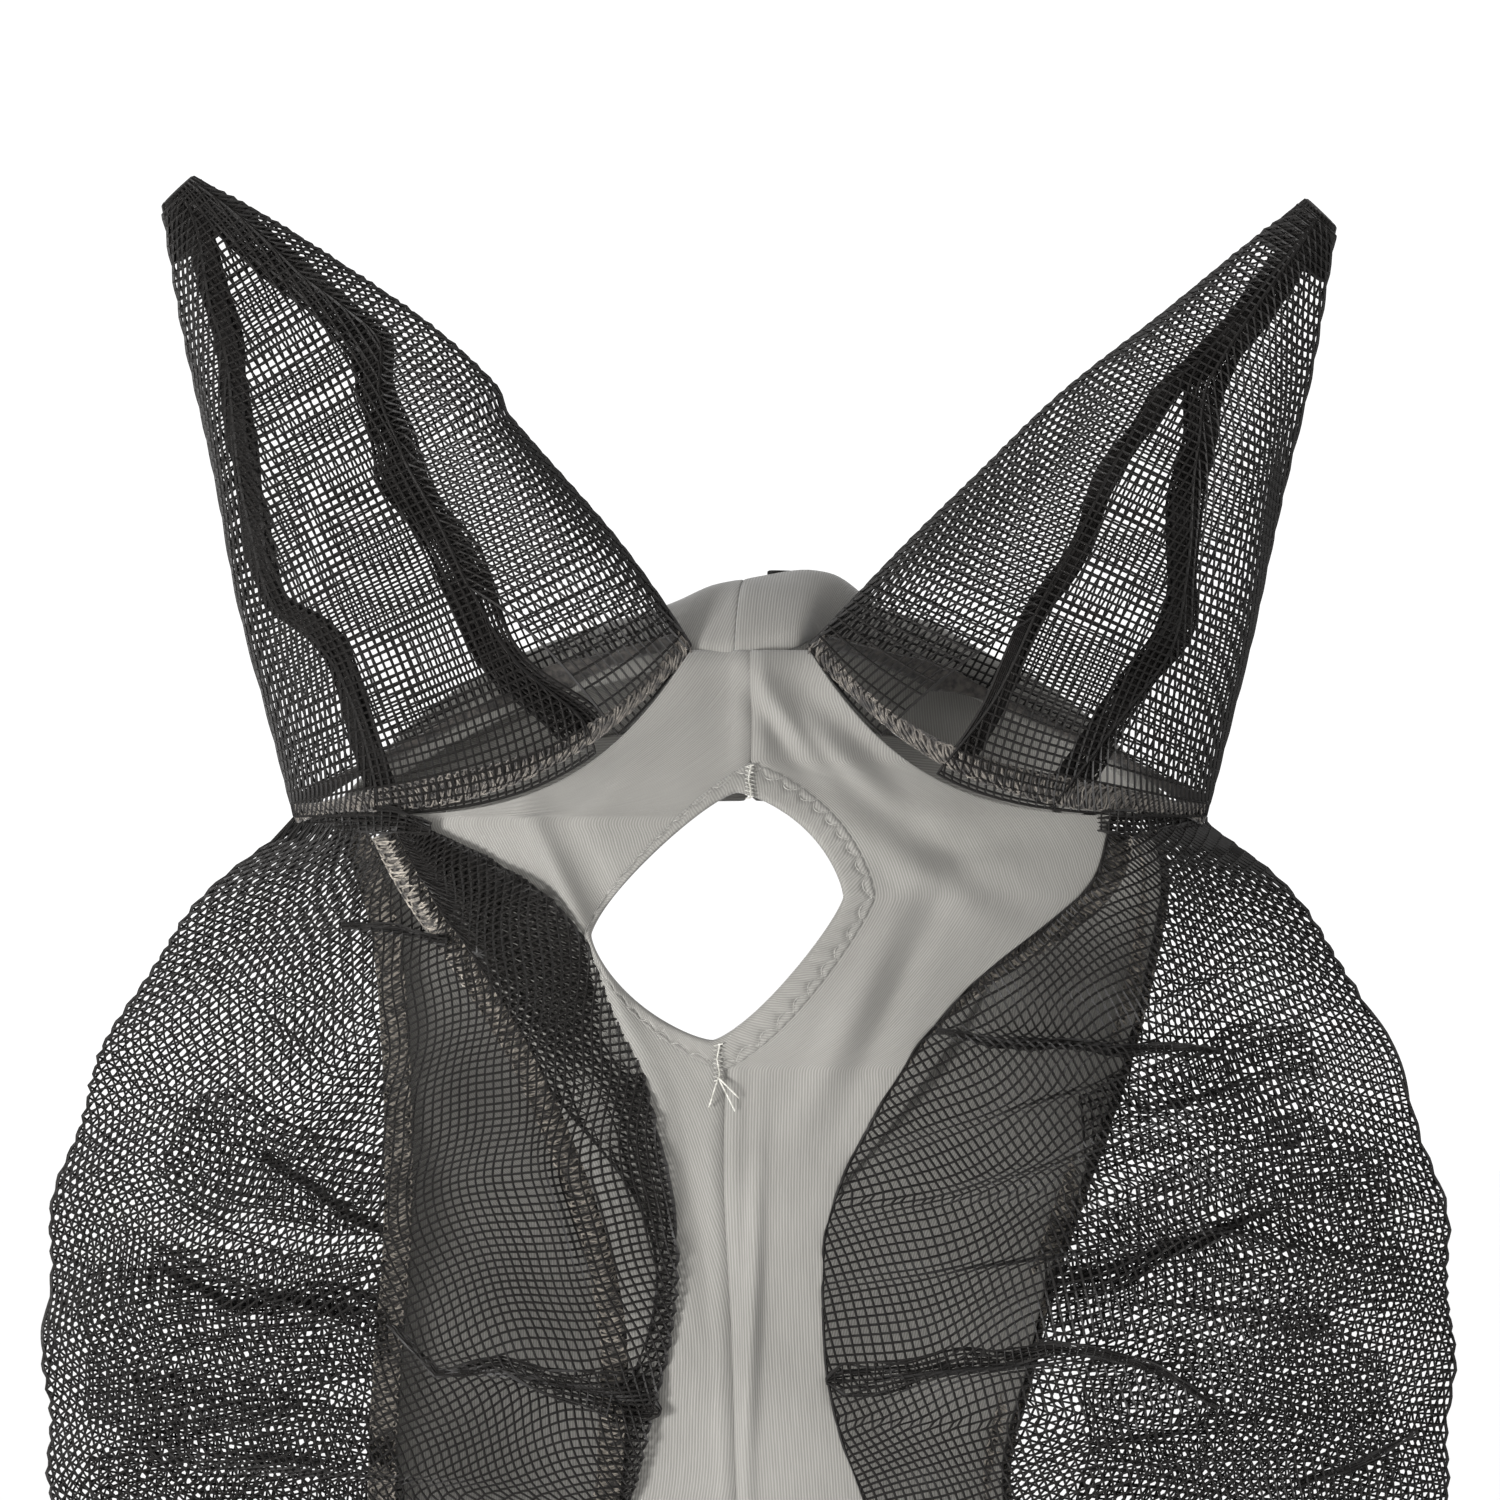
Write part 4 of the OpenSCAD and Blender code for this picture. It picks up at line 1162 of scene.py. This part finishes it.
def bartack(name, x, z, height, width, tails, node):
    passes = 17
    bars = [on_face(x + (width / 2 if k % 2 else -width / 2), z + height * (k / passes - 0.5), 2.0)
            for k in range(passes + 1)]
    spine = [on_face(x + 0.3 * math.sin(k), z + height * (k / 8 - 0.5), 1.9) for k in range(9)]
    lines = [bars, spine]
    for dx, dz in tails:
        lines.append([on_face(x + dx * f, z - height * 0.4 + dz * f, 2.0 + 1.4 * math.sin(math.pi * f))
                      for f in np.linspace(0, 1, 9)])
    piece = thread_line(name, lines, 0.24, pale_thread, "hood")
    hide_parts(node)


bartack("hole_bartack_upper", along(CENTRE_DRIFT, 127), 126.5, 9, 2.2, [], "bartack_top")
bartack("hole_bartack_lower", along(CENTRE_DRIFT, 52) - 2.0, 51.5, 10, 2.4,
        [(4.5, -9.0), (-2.5, -8.0), (5.5, -5.5)], "bartack_bottom")

# %% [markdown]
# ## Hems, elastics and the label
# The neck and nose edges are turned in over a flat elastic. The nose's are closed rings, laid just
# inside the hood's own stations. The neck's are strips inside the opening's edge, one down each cheek
# and one along the rear of each half of the nape band.


# %% Nose hem and elastic
def ring_band(name, z0, z1, inset, bulge, material, node):
    turns = np.linspace(0, 2 * math.pi, 161)
    rows = []
    for t in turns:
        row = []
        for k in range(13):
            f = 2 * math.pi * k / 12
            z = (z0 + z1) / 2 + (z1 - z0) / 2 * math.cos(f)
            half_w, depth = along(HOOD, z, 1), along(HOOD, z, 3 if math.sin(t) > 0 else 2)
            shrink = 1 - (inset + bulge * (math.sin(f) * 0.5 + 0.06 * math.sin(37 * t))) / 90
            row.append([half_w * shrink * math.cos(t), depth * shrink * math.sin(t), z])
        rows.append(row)
    points = np.array(rows)
    bm = lay_grid(points, flat_map(points), closed=True)
    bmesh.ops.recalc_face_normals(bm, faces=bm.faces)
    piece = make_piece(name, bm, material, "hood")
    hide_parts(node)


ring_band("nose_hem_fold", NOSE_Z + 0.6, NOSE_Z + 17, 4.3, 1.0, grey_fabric, "nose_hem")
ring_band("nose_elastic_band", NOSE_Z + 3, NOSE_Z + 15, 2.5, 0.9, elastic_tape, "nose_elastic")


# %% Neck hem and elastic
def neck_strip(side, w0, w1, deep):
    """The band inside the neck edge: down the cheek and round the throat."""
    rows = []
    for t in np.linspace(0.01, 0.995, 70):
        row = []
        for w in np.linspace(w0, w1, 5):
            z = 108 - (108 - THROAT_Z + w) * t ** 0.8
            x = max(0.25, neck_x(z, w))
            row.append([side * x, rear_y(x, z) - deep, z])
        rows.append(row)
    return np.array(rows)


def nape_strip(side, w0, w1, deep):
    rows = []
    for q in np.linspace(0, 0.95, 40):
        row = []
        for w in np.linspace(w0, w1, 5):
            point = nape_point(1 - w / 100, q)
            row.append((point + np.array([0, -deep * 0.75, -deep * 0.4])) * np.array([side, 1, 1]))
        rows.append(row)
    return np.array(rows)


for name, w0, w1, deep, thick, material, node, slot in (
        ("neck_hem", 0.5, 13, 4.4, 0.7, grey_fabric, "neck_hem", "stretch_fabric"),
        ("neck_elastic", 2, 11, 3.2, 0.7, elastic_tape, "neck_elastic", "elastic_tape")):
    for side, word in ((1, "right"), (-1, "left")):
        for part, strip in (("throat", neck_strip), ("nape", nape_strip)):
            points = strip(side, w0, w1, deep)
            band = stretch_panel(f"{name}_{part}_{word}", points, flat_map(points), material, "hood", thick)
            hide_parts(node)

# %% Blank label
label_rows = np.array([[nape_point(p, q) + np.array([0, 0, 1.7]) for p in np.linspace(0.40, 0.58, 6)]
                       for q in np.linspace(0.03, 0.11, 6)])
label = stretch_panel("blank_label", label_rows, flat_map(label_rows), label_tape, "hood", 0.5)
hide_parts("care_label")

# %% [markdown]
# ## The ground
# The mask hangs in the air as if on a head, over a plain white floor that only catches its light.

# %% Floor
FLOOR_Z = -0.32
bm = bmesh.new()
bmesh.ops.create_grid(bm, x_segments=2, y_segments=2, size=12.0)
bmesh.ops.translate(bm, verts=bm.verts, vec=(0, 0, FLOOR_Z))
floor_finish = Finish("white paper", Roughness=0.9)
grain = floor_finish.noise(floor_finish.place(), 300.0, 2.0)
floor_finish.wear(Base_Color=floor_finish.blend(grain, (0.88, 0.88, 0.88, 1), (0.92, 0.92, 0.92, 1)))
floor = make_piece("floor", bm, floor_finish.material, None, smooth=False)
